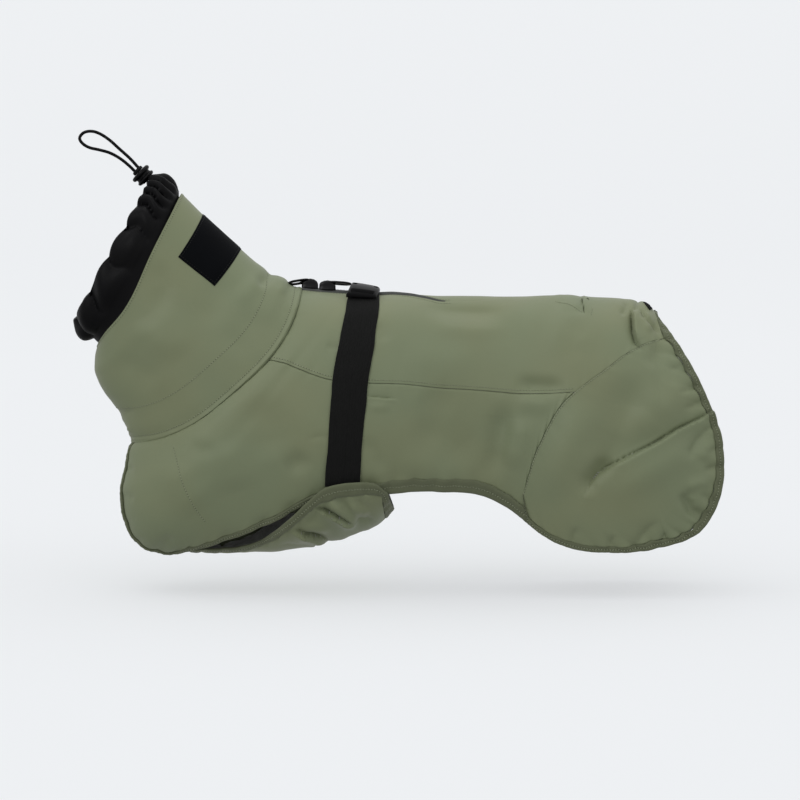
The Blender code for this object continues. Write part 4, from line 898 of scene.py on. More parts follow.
def stitches(lines, sizes, zigzag=0, long=0.56, shift=0.5):
    """Topstitches along lines of points and facings, each thread dipping into the cloth. Long and
    shift are shares of the pitch."""
    pitch = sizes.stitch_pitch / MM
    dip = np.array((-0.45, 0.05, 0.05, -0.45))
    paths, ups = [], []
    for points, facing in lines:
        run = run_along(points)
        for n in range(int(run[-1] / pitch)):
            at = (n + shift + long * np.array((-0.5, -0.3, 0.3, 0.5))) * pitch
            spots, up = at_runs(at, run, points), unit(at_runs(at, run, facing))
            aside = unit(np.cross(spots[-1] - spots[0], up[2]))
            lean = (1 if n % 2 else -1) * zigzag * np.array((-1, -0.6, 0.6, 1))
            paths.append(spots + up * dip[:, None] + aside * lean[:, None])
            ups.append(up)
    return threads(paths, ups, sizes.thread / MM)


def sewn(name, lines, sizes, zigzag=0):
    """The threads along these lines, and small dark dots of painted shade at the ends of each stitch, where
    the thread sinks into the cloth.
    """
    made = add_piece(name, stitches(lines, sizes, zigzag), ("sewing_thread",))
    # Painted shade: dark dots laid just under the threads where each stitch goes into the cloth.
    sunk = [(points - facing * 0.02, facing) for points, facing in lines]
    shade_dots = stitches(sunk, sizes, 0, 0.2, 1)
    return made, add_piece(name + "_shade_dots", shade_dots, ("stitch_shade_dot",))


def ring_plate(rim, hole, thick):
    """A flat plate with a slot, from two outlines of equal point count, with rounded edges."""
    rows = []
    for outline, other, high, inset in (
        (rim, hole, 0, 0), (rim, hole, 0.35, 0.05), (rim, hole, 0.5, 0.18), (hole, rim, 0.5, 0.12),
        (hole, rim, 0.35, 0), (hole, rim, -0.35, 0), (hole, rim, -0.5, 0.12), (rim, hole, -0.5, 0.18),
        (rim, hole, -0.35, 0.05),
    ):
        flat = outline + (other - outline) * inset
        rows.append(np.column_stack([flat, np.full(len(flat), high * thick)]))
    return np.array(rows)


def looped(points):
    """A closed skin over rows of closed loops, the last row joined to the first."""
    rows, columns = points.shape[:2]
    i, k = (side.ravel() for side in np.meshgrid(np.arange(rows), np.arange(columns), indexing="ij"))
    mesh = mesh_of("loop", points, corners_of(i, k, (i + 1) % rows, (k + 1) % columns, columns).tolist())
    mesh.uv_layers.new(name="UVMap")
    return settle(mesh, 40)


def lathe(profile):
    """A turned solid about Z, from radius and height pairs that run from bottom to top."""
    turn = turns(48)
    return strip(np.array([[(r * math.cos(t), r * math.sin(t), h) for t in turn] for r, h in profile]))


def squared(wave, power):
    """A sine or cosine made blunter or fuller, for rounded boxes."""
    return np.sign(wave) * np.abs(wave) ** power


# ---------------- finishes


class Finish:
    """A material in the making: a Principled shader and the nodes in front of it."""

    def __init__(self, name):
        self.material = bpy.data.materials.new(name + "_finish")
        self.material.use_nodes = True
        self.tree = self.material.node_tree
        self.shader = self.tree.nodes["Principled BSDF"]

    def feed(self, socket, value):
        """Puts a number, a colour or another node's output into a socket."""
        if isinstance(value, bpy.types.NodeSocket):
            self.tree.links.new(value, socket)
        else:
            socket.default_value = value

    def node(self, kind, settings=(), **sockets):
        made = self.tree.nodes.new(kind)
        for key, value in dict(settings).items():
            setattr(made, key, value)
        for socket, value in sockets.items():
            self.feed(made.inputs[socket.replace("_", " ")], value)
        return made

    def base(self, **sockets):
        """Feeds the shader's own sockets."""
        for socket, value in sockets.items():
            self.feed(self.shader.inputs[socket.replace("_", " ")], value)

    def math(self, operation, *values):
        made = self.node("ShaderNodeMath", {"operation": operation})
        for socket, value in zip(made.inputs, values):
            self.feed(socket, value)
        return made.outputs[0]

    def place(self):
        return self.node("ShaderNodeTexCoord").outputs["Object"]

    def noise(self, scale, detail=3):
        made = self.node("ShaderNodeTexNoise", Scale=scale, Detail=detail, Vector=self.place())
        return made.outputs["Fac"]

    def weave(self, pitch_u, pitch_v):
        """Threads over and under each other, from the cloth's own lengths, with pitches in
        millimetres. From 0 to about 1."""
        lengths = self.node("ShaderNodeUVMap", {"uv_map": "UVMap"}).outputs["UV"]
        split = self.node("ShaderNodeSeparateXYZ", Vector=lengths)
        u = self.math("SINE", self.math("MULTIPLY", split.outputs["X"], 2 * math.pi / (pitch_u * MM)))
        v = self.math("SINE", self.math("MULTIPLY", split.outputs["Y"], 2 * math.pi / (pitch_v * MM)))
        return self.math("ADD", self.math("MULTIPLY", self.math("MULTIPLY", u, v), 0.5), 0.5)

    def total(self, values):
        total = values[0]
        for value in values[1:]:
            total = self.math("ADD", total, value)
        return total

    def mean(self, values):
        return self.math("DIVIDE", self.total(values), float(len(values)))

    def mixed(self, first, second, share):
        """One colour at share 0 and the other at 1."""
        mix = self.node("ShaderNodeMix", {"data_type": "RGBA"})
        for socket, value in ((0, share), (6, (*first, 1)), (7, (*second, 1))):
            self.feed(mix.inputs[socket], value)
        return mix.outputs[2]

    def colour(self, colour, spread, *shares):
        """The base colour, made lighter and darker by the mean of these values from 0 to 1."""
        dark = [channel * (1 - spread) for channel in colour]
        light = [min(1, channel * (1 + spread)) for channel in colour]
        self.base(Base_Color=self.mixed(dark, light, self.mean(shares)))

    def tinted(self, first, second, share, spread, *shades):
        """The base colour, drifting from one hue to the other, then made lighter and darker."""
        hue = self.mixed(first, second, share)
        level = self.math("ADD", self.math("MULTIPLY", self.mean(shades), 2 * spread), 1 - spread)
        scale = self.node("ShaderNodeVectorMath", {"operation": "SCALE"}, Vector=hue, Scale=level)
        self.base(Base_Color=scale.outputs[0])

    def stretched(self, value, low, high):
        """The value, with low made 0 and high made 1."""
        return self.node("ShaderNodeMapRange", From_Min=low, From_Max=high, Value=value).outputs["Result"]

    def bump(self, strength, depth, *heights):
        """A relief this deep, in millimetres, from the sum of these values."""
        height = self.total(heights)
        made = self.node("ShaderNodeBump", Strength=strength, Distance=depth * MM, Height=height)
        self.base(Normal=made.outputs["Normal"])

    def rough(self, low, high, share):
        self.base(Roughness=self.math("ADD", self.math("MULTIPLY", share, high - low), low))


def rain_cloth(finish, colours):
    finish.base(Roughness=0.5, Sheen_Weight=0.10, Sheen_Roughness=0.45, Specular_IOR_Level=0.34)
    weave = finish.weave(0.9, 0.9)
    cloud = finish.noise(16, 2)
    speck = finish.noise(260, 2)
    warm = finish.stretched(finish.noise(11, 1.5), 0.36, 0.64)
    red, green, blue = colours.cloth
    finish.tinted(
        (red * 0.985, green * 1.005, blue), (red * 1.03, green, blue * 0.96), warm, 0.06,
        cloud, cloud, speck, weave,
    )
    finish.bump(0.22, 0.12, weave, finish.math("MULTIPLY", finish.noise(900, 2), 0.6))
    finish.rough(0.44, 0.58, finish.noise(30, 2))


def lining_cloth(finish, colours):
    finish.base(Roughness=0.8, Sheen_Weight=0.2, Specular_IOR_Level=0.3)
    knit = finish.weave(1.1, 0.8)
    finish.colour(colours.lining, 0.2, knit, finish.noise(40))
    finish.bump(0.4, 0.15, knit)


def binding_cloth(finish, colours):
    finish.base(Roughness=0.68, Sheen_Weight=0.15, Sheen_Roughness=0.5, Specular_IOR_Level=0.3)
    weave = finish.weave(1.3, 1)
    finish.colour(colours.binding, 0.18, weave, finish.noise(60), finish.noise(220))
    finish.bump(0.5, 0.2, weave, finish.noise(500))


def gaiter_cloth(finish, colours):
    finish.base(Roughness=0.45, Sheen_Weight=0.008, Sheen_Roughness=0.4, Specular_IOR_Level=0.1)
    knit = finish.weave(1, 1)
    finish.colour(colours.gaiter, 0.25, knit, finish.noise(50))
    finish.bump(0.25, 0.12, knit, finish.noise(320))


def strap_webbing(finish, colours):
    finish.base(Roughness=0.75, Sheen_Weight=0.02, Sheen_Roughness=0.5, Specular_IOR_Level=0.1)
    weave = finish.weave(1.2, 2.6)
    finish.colour(colours.webbing, 0.6, weave, finish.noise(420))
    finish.bump(0.9, 0.4, weave, finish.noise(700))


def moulded_plastic(finish, colours):
    finish.base(Roughness=0.3, Specular_IOR_Level=0.13)
    grain = finish.noise(1400, 2)
    finish.colour(colours.plastic, 0.12, finish.noise(30), grain)
    finish.bump(0.15, 0.05, grain)
    finish.rough(0.28, 0.42, finish.noise(90))


def zip_cloth(finish, colours):
    finish.base(Roughness=0.8, Specular_IOR_Level=0.2)
    weave = finish.weave(0.8, 1.6)
    finish.colour(colours.zip_tape, 0.25, weave, finish.noise(200))
    finish.bump(0.5, 0.15, weave)


def painted_zip(finish, colours):
    finish.base(Roughness=0.25, Specular_IOR_Level=0.2, Coat_Weight=0.04, Coat_Roughness=0.2)
    wear = finish.noise(160, 4)
    finish.colour(colours.zip_paint, 0.3, wear)
    finish.bump(0.1, 0.04, finish.noise(700))
    finish.rough(0.22, 0.38, wear)


def cord_braid(finish, colours):
    finish.base(Roughness=0.55, Sheen_Weight=0.01, Specular_IOR_Level=0.12)
    braid = finish.weave(0.7, 1.4)
    finish.colour(colours.gaiter, 0.3, braid, finish.noise(600))
    finish.bump(0.25, 0.1, finish.noise(900, 2), braid)


def sewing_thread(finish, colours):
    finish.base(Roughness=0.6, Sheen_Weight=0.1, Specular_IOR_Level=0.4)
    finish.colour(colours.thread, 0.15, finish.noise(900))
    finish.bump(0.3, 0.05, finish.noise(3000))


def black_thread(finish, colours):
    finish.base(Roughness=0.6, Specular_IOR_Level=0.2)
    finish.colour(colours.webbing, 0.3, finish.noise(900))
    finish.bump(0.3, 0.05, finish.noise(3000))


def stitch_shade_dot(finish, colours):
    finish.base(Roughness=0.9, Specular_IOR_Level=0.1)
    # Painted shade: the cloth's own colour at 0.38 of its strength, for the shade in the dimples where
    # stitches sink in.
    finish.colour([channel * 0.38 for channel in colours.cloth], 0.2, finish.noise(900))


def woven_patch(finish, colours):
    finish.base(Roughness=0.7, Sheen_Weight=0.006, Specular_IOR_Level=0.05)
    satin = finish.weave(0.6, 1.2)
    finish.colour(colours.patch, 0.3, satin, finish.noise(120))
    finish.bump(0.35, 0.12, satin)


def studio_paper(finish, _colours):
    """The backdrop. It shines a little by itself, more up the wall, where less light falls."""
    studio = bpy.context.scene.raincoat_studio
    finish.base(Roughness=1, Specular_IOR_Level=0)
    finish.colour((0.420, 0.429, 0.440), 0.004, finish.noise(3))
    high = finish.node("ShaderNodeSeparateXYZ", Vector=finish.place()).outputs["Z"]
    metre_up = finish.math("MINIMUM", finish.math("MAXIMUM", high, 0), 1)
    glow = finish.math("ADD", finish.math("MULTIPLY", metre_up, 0.06), studio.paper)
    finish.base(Emission_Color=(0.965, 0.984, 1, 1), Emission_Strength=glow)


FINISHES = (
    rain_cloth, lining_cloth, binding_cloth, gaiter_cloth, strap_webbing, moulded_plastic, zip_cloth,
    painted_zip, cord_braid, sewing_thread, black_thread, stitch_shade_dot, woven_patch, studio_paper,
)
MADE = {}


def finish_of(name):
    """The finish of this name, made the first time that it is asked for."""
    if name not in MADE:
        finish = Finish(name)
        dress = {maker.__name__: maker for maker in FINISHES}[name]
        dress(finish, bpy.context.scene.raincoat_colours)
        MADE[name] = finish.material
    return MADE[name]


# ---------------- the pattern


def zip_middle(x):
    """How far to the right of the spine the zip's middle, and the yoke's middle behind it, lie."""
    line = smooth_rows(ZIP_MIDDLE, np.linspace(0, len(ZIP_MIDDLE) - 1, 100))
    return np.interp(x, line[:, 0], line[:, 1])


def slot_half(x):
    return np.interp(x, *np.array(SLOT_HALF).T)


def angle_of(form, section, y):
    """The angle on the upper half of a place this far to the right of the spine."""
    y = np.where(np.abs(y) < 1e-3, 1e-3, y)
    return -np.sign(y) * form.angle_at(section, np.abs(y))


def section_at(form, x):
    """The section whose spine point is at this x."""
    sections = np.linspace(0, len(form.table) - 1, 2000)
    return np.interp(x, smooth_rows(form.table, sections)[:, 0], sections)


def inner_line(form, starts, ends, widths):
    """Where each row meets the binding: this far from its end, as seen and as measured."""
    t = np.linspace(0, 1, 80)
    found = []
    for start, end, width in zip(starts, ends, widths):
        row = form.bare(*(start + (end - start) * t[:, None]).T)
        seen = np.linalg.norm((row - row[-1])[:, [0, 2]], axis=1)
        share = np.interp(width, np.maximum(seen, run_along(row[::-1])[::-1])[::-1], t[::-1])
        found.append(start + (end - start) * share)
    return np.array(found)


def side_binding_width(x, z):
    if x < CHEST_BINDING_TO[0] or z > CHEST_BINDING_TO[1] and x < LEG_BINDING_FROM:
        return CHEST_BINDING
    return float(np.interp(x, LOIN_BINDING_GROWS, (LEG_BINDING, LOIN_BINDING)))


class Pattern:
    """The coat's seams and edges as places on the torso, closely spaced."""

    ROWS_A_SECTION = 10
    CORNER_ROWS, UPPER_ROWS, RUMP_ROWS = 46, 70, 210

    def __init__(self):
        self.torso, self.collar, self.gaiter = Form(TORSO), Form(COLLAR), Form(GAITER)
        self.belly = BellyForm()
        torso = self.torso
        sections = np.linspace(0, CORNER_FROM, int(self.ROWS_A_SECTION * CORNER_FROM) + 1)
        yoke_line = smooth_rows(YOKE_SEAM, np.linspace(0, len(YOKE_SEAM) - 1, 60))
        hem_line = smooth_rows(HEM, np.linspace(0, len(HEM) - 1, 90))
        yoke = np.array([(s, torso.crossing(s, yoke_line)) for s in sections])
        corner = torso.find(*RUMP_HEM[0])
        hem = [(s, torso.angle_at(s, EDGE_HALF, True)) for s in sections[:-1] if s < CHEST_END]
        hem += [(s, torso.crossing(s, hem_line)) for s in sections[:-1] if s >= HEM_CROSSES_FROM]
        hem = np.array([*hem, tuple(corner)])
        hem = np.stack([sections, np.interp(sections, hem[:, 0], hem[:, 1])], axis=1)
        hem[-1] = corner

        t = np.linspace(0, 1, self.CORNER_ROWS + 1)
        lower = torso.traced(HAUNCH_SEAM_LOWER, t)
        step = yoke[-1, 0] + (lower[-1, 0] - yoke[-1, 0]) * t[1:-1]
        rest = [(s, torso.crossing(s, yoke_line)) for s in step]
        self.yoke_low = np.vstack([yoke, rest, lower[-1]])
        self.haunch_low = lower
        self.haunch_high = torso.traced(HAUNCH_SEAM_UPPER, np.linspace(0, 1, self.UPPER_ROWS + 1))
        self.tail_end = float(section_at(torso, TAIL_EDGE[-1][0]))
        self.yoke_end = self.tail_end - TAIL_SETBACK

        # The side's rows end on the hem and then on the haunch seam.
        self.hem = hem
        widths = [side_binding_width(x, z) for x, _, z in torso.bare(*hem.T)]
        self.hem_inner = inner_line(torso, self.yoke_low[: len(hem)], hem, widths)
        self.hem_inner[-1] = lower[0]

        # The rump's rows start on the haunch seam, low and then high, and end on the rump's hem.
        t = np.linspace(0, 1, self.RUMP_ROWS + 1)
        self.haunch_seam = torso.traced(HAUNCH_SEAM_LOWER[:-1] + HAUNCH_SEAM_UPPER, t)
        self.rump = torso.traced(RUMP_HEM, t)
        self.rump_inner = inner_line(torso, self.haunch_seam, self.rump, [RUMP_BINDING] * len(t))
        self.rump_inner[0], self.rump_inner[-1] = self.haunch_seam[0], self.haunch_seam[-1]


PATTERN = Pattern()
SEAM_GAP = 0.12  # half of what shows between two panels
TUCK = 0.2  # how far cloth goes in under its binding, as a share of the binding's width
COAT_CLOTH = ("rain_cloth", "lining_cloth")
RIGHT_TORSO_FOLDS = other_side(TORSO_FOLDS)
RIGHT_BELLY_FOLDS = other_side(BELLY_FOLDS)
SEEDS = {"left": 0.7, "right": 2.9}
SIDE_SLACK, BACK_SLACK = 0.9, 0.5  # how much the slow waves of hanging cloth count
HAUNCH_CELL = 0.7  # the haunch's cells, as a share of the others, because its folds are sharp


def side_folds(side):
    return TORSO_FOLDS if side == "left" else RIGHT_TORSO_FOLDS


def on_side(points, side):
    return points if side == "left" else mirrored(points)


def coat_panel(form, places, folds, edges, sizes, seed, **more):
    return Panel(form, places, folds, edges, sizes.cloth_wall / MM, seed=seed, **more)


def towards(form, starts, ends, gap):
    """The starts, moved this far towards the ends."""
    far = np.linalg.norm(form.bare(*ends.T) - form.bare(*starts.T), axis=1)
    share = np.minimum(0.45, gap / np.maximum(far, 1e-6))
    return starts + (ends - starts) * share[:, None]


def declare_sheet(middle, held, skip=None):
    """Works out how the piece was cut: its width, length and area, measured along a grid of its points. It
    passes none of them on.
    """
    grid = middle * MM
    down, along = np.diff(grid, axis=0), np.diff(grid, axis=1)
    cells = 0.5 * np.linalg.norm(np.cross(down[:, :-1] + down[:, 1:], along[:-1] + along[1:]), axis=-1) / 2
    if skip is not None:
        cells = np.where(skip, 0, cells)
    width = float(np.linalg.norm(along, axis=-1).sum(1).max())
    length = float(np.linalg.norm(down, axis=-1).sum(0).max())
    area = float(cells.sum())
    if area < 0.5 * width * length and held == "folded":
        width = max(0.0101, 1.25 * area / length)
    elif area < 0.5 * width * length:
        spots = grid.reshape(-1, 3) - grid.reshape(-1, 3).mean(0)
        seen = spots @ np.linalg.svd(spots[::7], full_matrices=False)[2].T
        sizes = np.ptp(seen, axis=0)[:2]
        width, length = (float(size) for size in sizes * math.sqrt(max(1.15, 1.3 * area / sizes.prod())))


# ---------------- cloth


def side_cloth(side, sizes):
    pattern, torso = PATTERN, PATTERN.torso
    inner = np.vstack([pattern.hem_inner, pattern.haunch_low[1:-1]])
    starts = pattern.yoke_low[: len(inner)]
    end = towards(torso, inner, starts, SEAM_GAP)
    tucked = pattern.hem_inner + (pattern.hem - pattern.hem_inner) * TUCK
    end[: len(tucked) - 1] = tucked[:-1]
    places = rows_between(torso, towards(torso, starts, inner, SEAM_GAP), end, sizes.cell / MM)
    edges = {"start": "under", "end": "bound", "first": "neck"}
    return coat_panel(torso, places, side_folds(side), edges, sizes, SEEDS[side])


def haunch_cloth(side, sizes):
    pattern, torso = PATTERN, PATTERN.torso
    starts = towards(torso, pattern.haunch_seam, pattern.rump, SEAM_GAP)[1:-1]
    ends = (pattern.rump_inner + (pattern.rump - pattern.rump_inner) * TUCK)[1:-1]
    places = rows_between(torso, starts, ends, sizes.cell / MM * HAUNCH_CELL)
    return coat_panel(torso, places, side_folds(side), {"start": "lap", "end": "rump"}, sizes, SEEDS[side])


def yoke_rows():
    """The yoke's rows: the section of each on the spine, and the place where it ends on the seam."""
    pattern = PATTERN
    ends = np.vstack([pattern.yoke_low, pattern.haunch_high[1:]])
    count = len(pattern.haunch_high) - 1
    last = pattern.yoke_low[-1, 0]
    rest = last + (pattern.yoke_end - last) * np.arange(1, count + 1) / count
    return np.concatenate([pattern.yoke_low[:, 0], rest]), ends


def yoke_cloth(side, sizes):
    torso = PATTERN.torso
    sections, ends = yoke_rows()
    x = smooth_rows(torso.table, sections)[:, 0]
    middle = zip_middle(x) * (1 if side == "left" else -1)
    starts = np.stack([sections, angle_of(torso, sections, middle - slot_half(x))], 1)
    places = rows_between(torso, starts, towards(torso, ends, starts, SEAM_GAP), sizes.cell / MM)
    edges = {"end": "lap", "first": "neck"}
    return coat_panel(torso, places, side_folds(side), edges, sizes, SEEDS[side], slackness=BACK_SLACK)


BINDING_PROFILE = (
    # share of the width from the inner edge, height
    (0, 0.1), (0.05, 0.75), (0.16, 1.15), (0.32, 1.1), (0.5, 0.72), (0.68, 1.15), (0.84, 1.2),
    (0.95, 0.75), (1, -0.2), (0.97, -1.3), (0.84, -1.9), (0.6, -2), (0.35, -2), (0.15, -1.9),
    (0.03, -1.4),
)


def bound_edge(form, inner, outer, folds, seed, pucker="bound", scallop=1):
    """A folded binding between two lines. Its inner edge is gathered, so it runs in small waves."""
    inner_points = form.bare(*inner.T)
    run = runs(inner_points[:, None], 0)[:, 0]
    _, rise, wavelength, _, _ = EDGES[pucker]
    wave = gathered(run, wavelength, seed)
    fine = uneven(run, 6.3, seed + 1)
    width = np.linalg.norm(inner_points - form.bare(*outer.T), axis=1)
    soft = np.minimum(1, width / 5)
    rows = []
    for share, high in BINDING_PROFILE:
        moved = share + (scallop * (1.25 * wave + 0.3 * fine) * (1 - share) / np.maximum(width, 4)) * soft
        base, facing = form.laid(*(inner + (outer - inner) * moved[:, None]).T)
        x, z = base[:, 0], base[:, 2]
        lift = high * (1 + 0.3 * fine * soft) if high > 0 else high
        total = lift + rise * wave * (0.9 - 0.6 * share) + fold_rise(x, z, folds)
        total = total + SIDE_SLACK * slack(x, z, seed)
        rows.append(base + facing * total[:, None])
    return np.array(rows).transpose(1, 0, 2)


def folded_middle(points):
    """The binding's cloth laid out: the middle of its wall, row by row."""
    return (points[:, :9] + points[:, [14, 14, 13, 13, 12, 11, 10, 9, 8]]) / 2


def middle_stitches(points):
    """The line along the middle of a binding's outer face, for its stitches."""
    line = points[:, 4]
    across = unit(points[:, 6] - points[:, 2])
    along = unit(np.gradient(line, axis=0))
    facing = unit(np.cross(along, across))
    outward = points[:, 4] - points[:, 12]
    flip = np.sign((facing * outward).sum(1))[:, None]
    return line + facing * flip * 0.15, facing * flip


class RAINCOAT_OT_cloth(bpy.types.Operator):
    """Lays the yoke, the side panels and the haunch panels with their folds and topstitches"""

    bl_idname = "raincoat.cloth"
    bl_label = "Cloth panels"

    def execute(self, context):
        sizes = context.scene.raincoat_sizes
        lines, halves = [], {}
        for side in SEEDS:
            panels = {"side": side_cloth(side, sizes), "haunch": haunch_cloth(side, sizes)}
            for name, panel in panels.items():
                mesh = shell(on_side(panel.outer, side), on_side(panel.inner, side))
                node = f"{name}_panel_{side}"
                piece = add_piece(f"{name}_cloth_{side}", mesh, COAT_CLOTH, (node,))
                declare_sheet(panel.outer, "draped")
            yoke = halves[side] = yoke_cloth(side, sizes)
            for panel, edge, away, last_x in (
                (yoke, "end", 3, HAUNCH_SEAM_UPPER[0][0]), (yoke, "start", 3.2, ZIP_END + 4),
                (panels["haunch"], "start", 1.3, math.inf),
            ):
                spots, facing = panel.line(edge, away)
                kept = spots[:, 0] < last_x
                lines.append((on_side(spots[kept], side), on_side(facing[kept], side)))
            lines += [self.drawn(way, side) for way in (CHEST_DART, WELT_LOW, WELT_END)]
        left, right = halves["left"], halves["right"]
        outer = np.concatenate([left.outer[:, ::-1], mirrored(right.outer)], 1)
        inner = np.concatenate([left.inner[:, ::-1], mirrored(right.inner)], 1)
        x = smooth_rows(TORSO, yoke_rows()[0])[:, 0]
        skip = np.zeros((outer.shape[0] - 1, outer.shape[1] - 1), bool)
        skip[:, left.outer.shape[1] - 1] = x[:-1] < ZIP_END
        mesh = shell(outer, inner, skip=skip)
        yoke_piece = add_piece("yoke_cloth", mesh, COAT_CLOTH, ("back_yoke",))
        sewing = sewn("panel_stitches", lines, sizes)
        # Painted shade: the welt's slit and the bar at its corner are drawn as thin dark threads in the
        # shade colour of the stitch dots.
        marks = [self.drawn(way, side, 0.3) for side in SEEDS for way in (WELT_SLIT, WELT_DOT)]
        welt_shade_mesh = threads(*(np.array(part) for part in zip(*marks)), 0.45)
        welt = add_piece("back_welt_shade_marks", welt_shade_mesh, ("stitch_shade_dot",))
        declare_sheet((outer + inner) / 2, "draped", skip)
        return {"FINISHED"}

    def drawn(self, way, side, lift=0.12):
        """A line drawn on the panels: its points, and the way the cloth faces there."""
        spots = PATTERN.torso.traced(way, np.linspace(0, 1, 24))
        base, facing = PATTERN.torso.laid(*spots.T)
        x, z = base[:, 0], base[:, 2]
        slackness = BACK_SLACK if spots[:, 1].max() < math.radians(60) else SIDE_SLACK
        rise = fold_rise(x, z, side_folds(side)) + slackness * slack(x, z, SEEDS[side]) + lift
        return on_side(base + facing * rise[:, None], side), on_side(facing, side)


class RAINCOAT_OT_bindings(bpy.types.Operator):
    """Folds the gathered binding round the chest, leg, loin and rump edges"""

    bl_idname = "raincoat.bindings"
    bl_label = "Bindings"

    def execute(self, context):
        pattern, torso = PATTERN, PATTERN.torso
        for side in SEEDS:
            seed = SEEDS[side] + 1
            inner = np.vstack([pattern.hem_inner, pattern.rump_inner[2:7:2]])
            outer = np.vstack([pattern.hem, pattern.rump[2:7:2]])
            points = bound_edge(torso, inner, outer, side_folds(side), seed)
            points[-3:] -= 0.5 * torso.facing(*outer[-3:].T)[:, None]
            self.sew(context, "hem_edge_" + side, on_side(points[2:], side), "hem_binding_" + side)
            inner, outer = self.rump_lines()
            points = on_side(bound_edge(torso, inner, outer, side_folds(side), seed, "rump", 1.2), side)
            self.sew(context, "haunch_edge_" + side, points, "haunch_binding_" + side)
        return {"FINISHED"}

    def sew(self, context, name, points, node):
        piece = add_piece(name, strip(points), ("binding_cloth",), (node,))
        sizes = context.scene.raincoat_sizes
        sewing = sewn(name + "_stitches", [middle_stitches(points)], sizes, zigzag=0.55)
        declare_sheet(folded_middle(points), "folded")

    def rump_lines(self):
        """The rump's binding, which goes on past the haunch seam along the yoke's end to the tail."""
        pattern, torso = PATTERN, PATTERN.torso
        t = np.linspace(0, 1, 24)[1:-1]
        spine = np.array((pattern.yoke_end, torso.angle_at(pattern.yoke_end, 4)))
        yoke_end = pattern.haunch_seam[-1] + (spine - pattern.haunch_seam[-1]) * t[:, None]
        tail = torso.traced(TAIL_EDGE, t)
        tip_inner = (pattern.yoke_end, torso.angle_at(pattern.yoke_end, TAIL_HALF))
        tip_outer = (pattern.tail_end, torso.angle_at(pattern.tail_end, TAIL_TIP_HALF))
        inner = np.vstack([pattern.rump_inner, yoke_end, tip_inner])
        outer = np.vstack([pattern.rump, tail, tip_outer])
        return inner[1:], outer[1:]


class RAINCOAT_OT_collar(bpy.types.Operator):
    """Rolls the tall collar, with its facing and its stitched mouth"""

    bl_idname = "raincoat.collar"
    bl_label = "Collar"
    ROWS, COLUMNS = 72, 184
    ROLL = (1.3, 0.6, 1.9)  # height, distance and width of the roll at the neck seam
    LOWEST = (0, 0.1, 0.2, 0.3, 0.42)  # sections of its first rows, closer together
    LAP = ((0.34, -0.4), (0.3, 0.5), (0.16, 1.3))  # torso sections and heights of its lower edge
    LAP_WALL = 0.8
    MOUTH_HEM = (0.35, 3.4)  # height and depth of the turned hem at the mouth
    MOUTH_DIP = (0.42, 2, 0.45)  # how far its edge draws back low on the sides: sections, angle, spread
    SEWN_AT = (("first", 5), ("first", 36), ("last", 2.3))  # edges and how far from them

    def execute(self, context):
        sizes = context.scene.raincoat_sizes
        form = PATTERN.collar
        rest = np.linspace(self.LOWEST[-1], len(COLLAR) - 1, self.ROWS)
        sections = np.concatenate([self.LOWEST[:-1], rest])
        angles = turns(self.COLUMNS)
        places = np.stack(np.meshgrid(sections, angles, indexing="ij"), axis=-1)
        deep, middle, spread = self.MOUTH_DIP
        back = deep * np.exp(-(((np.minimum(angles, 2 * math.pi - angles) - middle) / spread) ** 2))
        places[..., 0] -= back * ramp(places[..., 0] - 4, 4)
        panel = coat_panel(form, places, COLLAR_FOLDS, {"first": "collar"}, sizes, **COLLAR_LAY)
        up, down = panel.from_edge("first")[0], panel.from_edge("last")[0]
        high, away, wide = self.ROLL
        extra = high * np.exp(-(((up - away) / wide) ** 2))
        extra += self.MOUTH_HEM[0] * ramp(self.MOUTH_HEM[1] - down, 1.2)
        panel.outer = panel.outer + panel.facing * extra[..., None]
        panel.inner = panel.inner + panel.facing * (0.6 * extra[..., None] - 0.1)
        mesh = shell(*self.lapped(panel, angles), closed=True)
        piece = add_piece("collar_cloth", mesh, COAT_CLOTH, ("collar",))
        lines = []
        for edge, away in self.SEWN_AT:
            points, facing = panel.line(edge, away)
            lines.append((np.vstack([points, points[:1]]), np.vstack([facing, facing[:1]])))
        sewing = sewn("collar_stitches", lines, sizes)
        around = np.concatenate([panel.outer, panel.outer[:, :1]], 1)
        declare_sheet(around, "draped")
        return {"FINISHED"}

    def lapped(self, panel, angles):
        """The collar's two faces with its rolled edge, which lies over the panels that it's sewn to."""
        outer, inner = [], []
        for section, rise in self.LAP:
            base, facing = PATTERN.torso.laid(np.full(angles.shape, section), angles)
            level = panel.rise[0] - COLLAR_PROUD + rise
            outer.append(base + facing * level[:, None])
            inner.append(base + facing * (level - self.LAP_WALL)[:, None])
        return np.concatenate([outer, panel.outer]), np.concatenate([inner, panel.inner])


def gathers(angle):
    """The gaiter's gathers round its opening: small at the cord lock and wide under the chin."""
    low = np.degrees(np.abs((angle + math.pi) % (2 * math.pi) - math.pi))
    low = np.where(np.sin(angle) < 0, low * 1.07, low)
    count = np.interp(low, GATHER_VALLEYS, np.arange(len(GATHER_VALLEYS)))
    share = count % 1
    return np.abs(np.sin(math.pi * share)) ** 0.8 * 2 - 1 + 0.15 * np.sin(5 * angle)


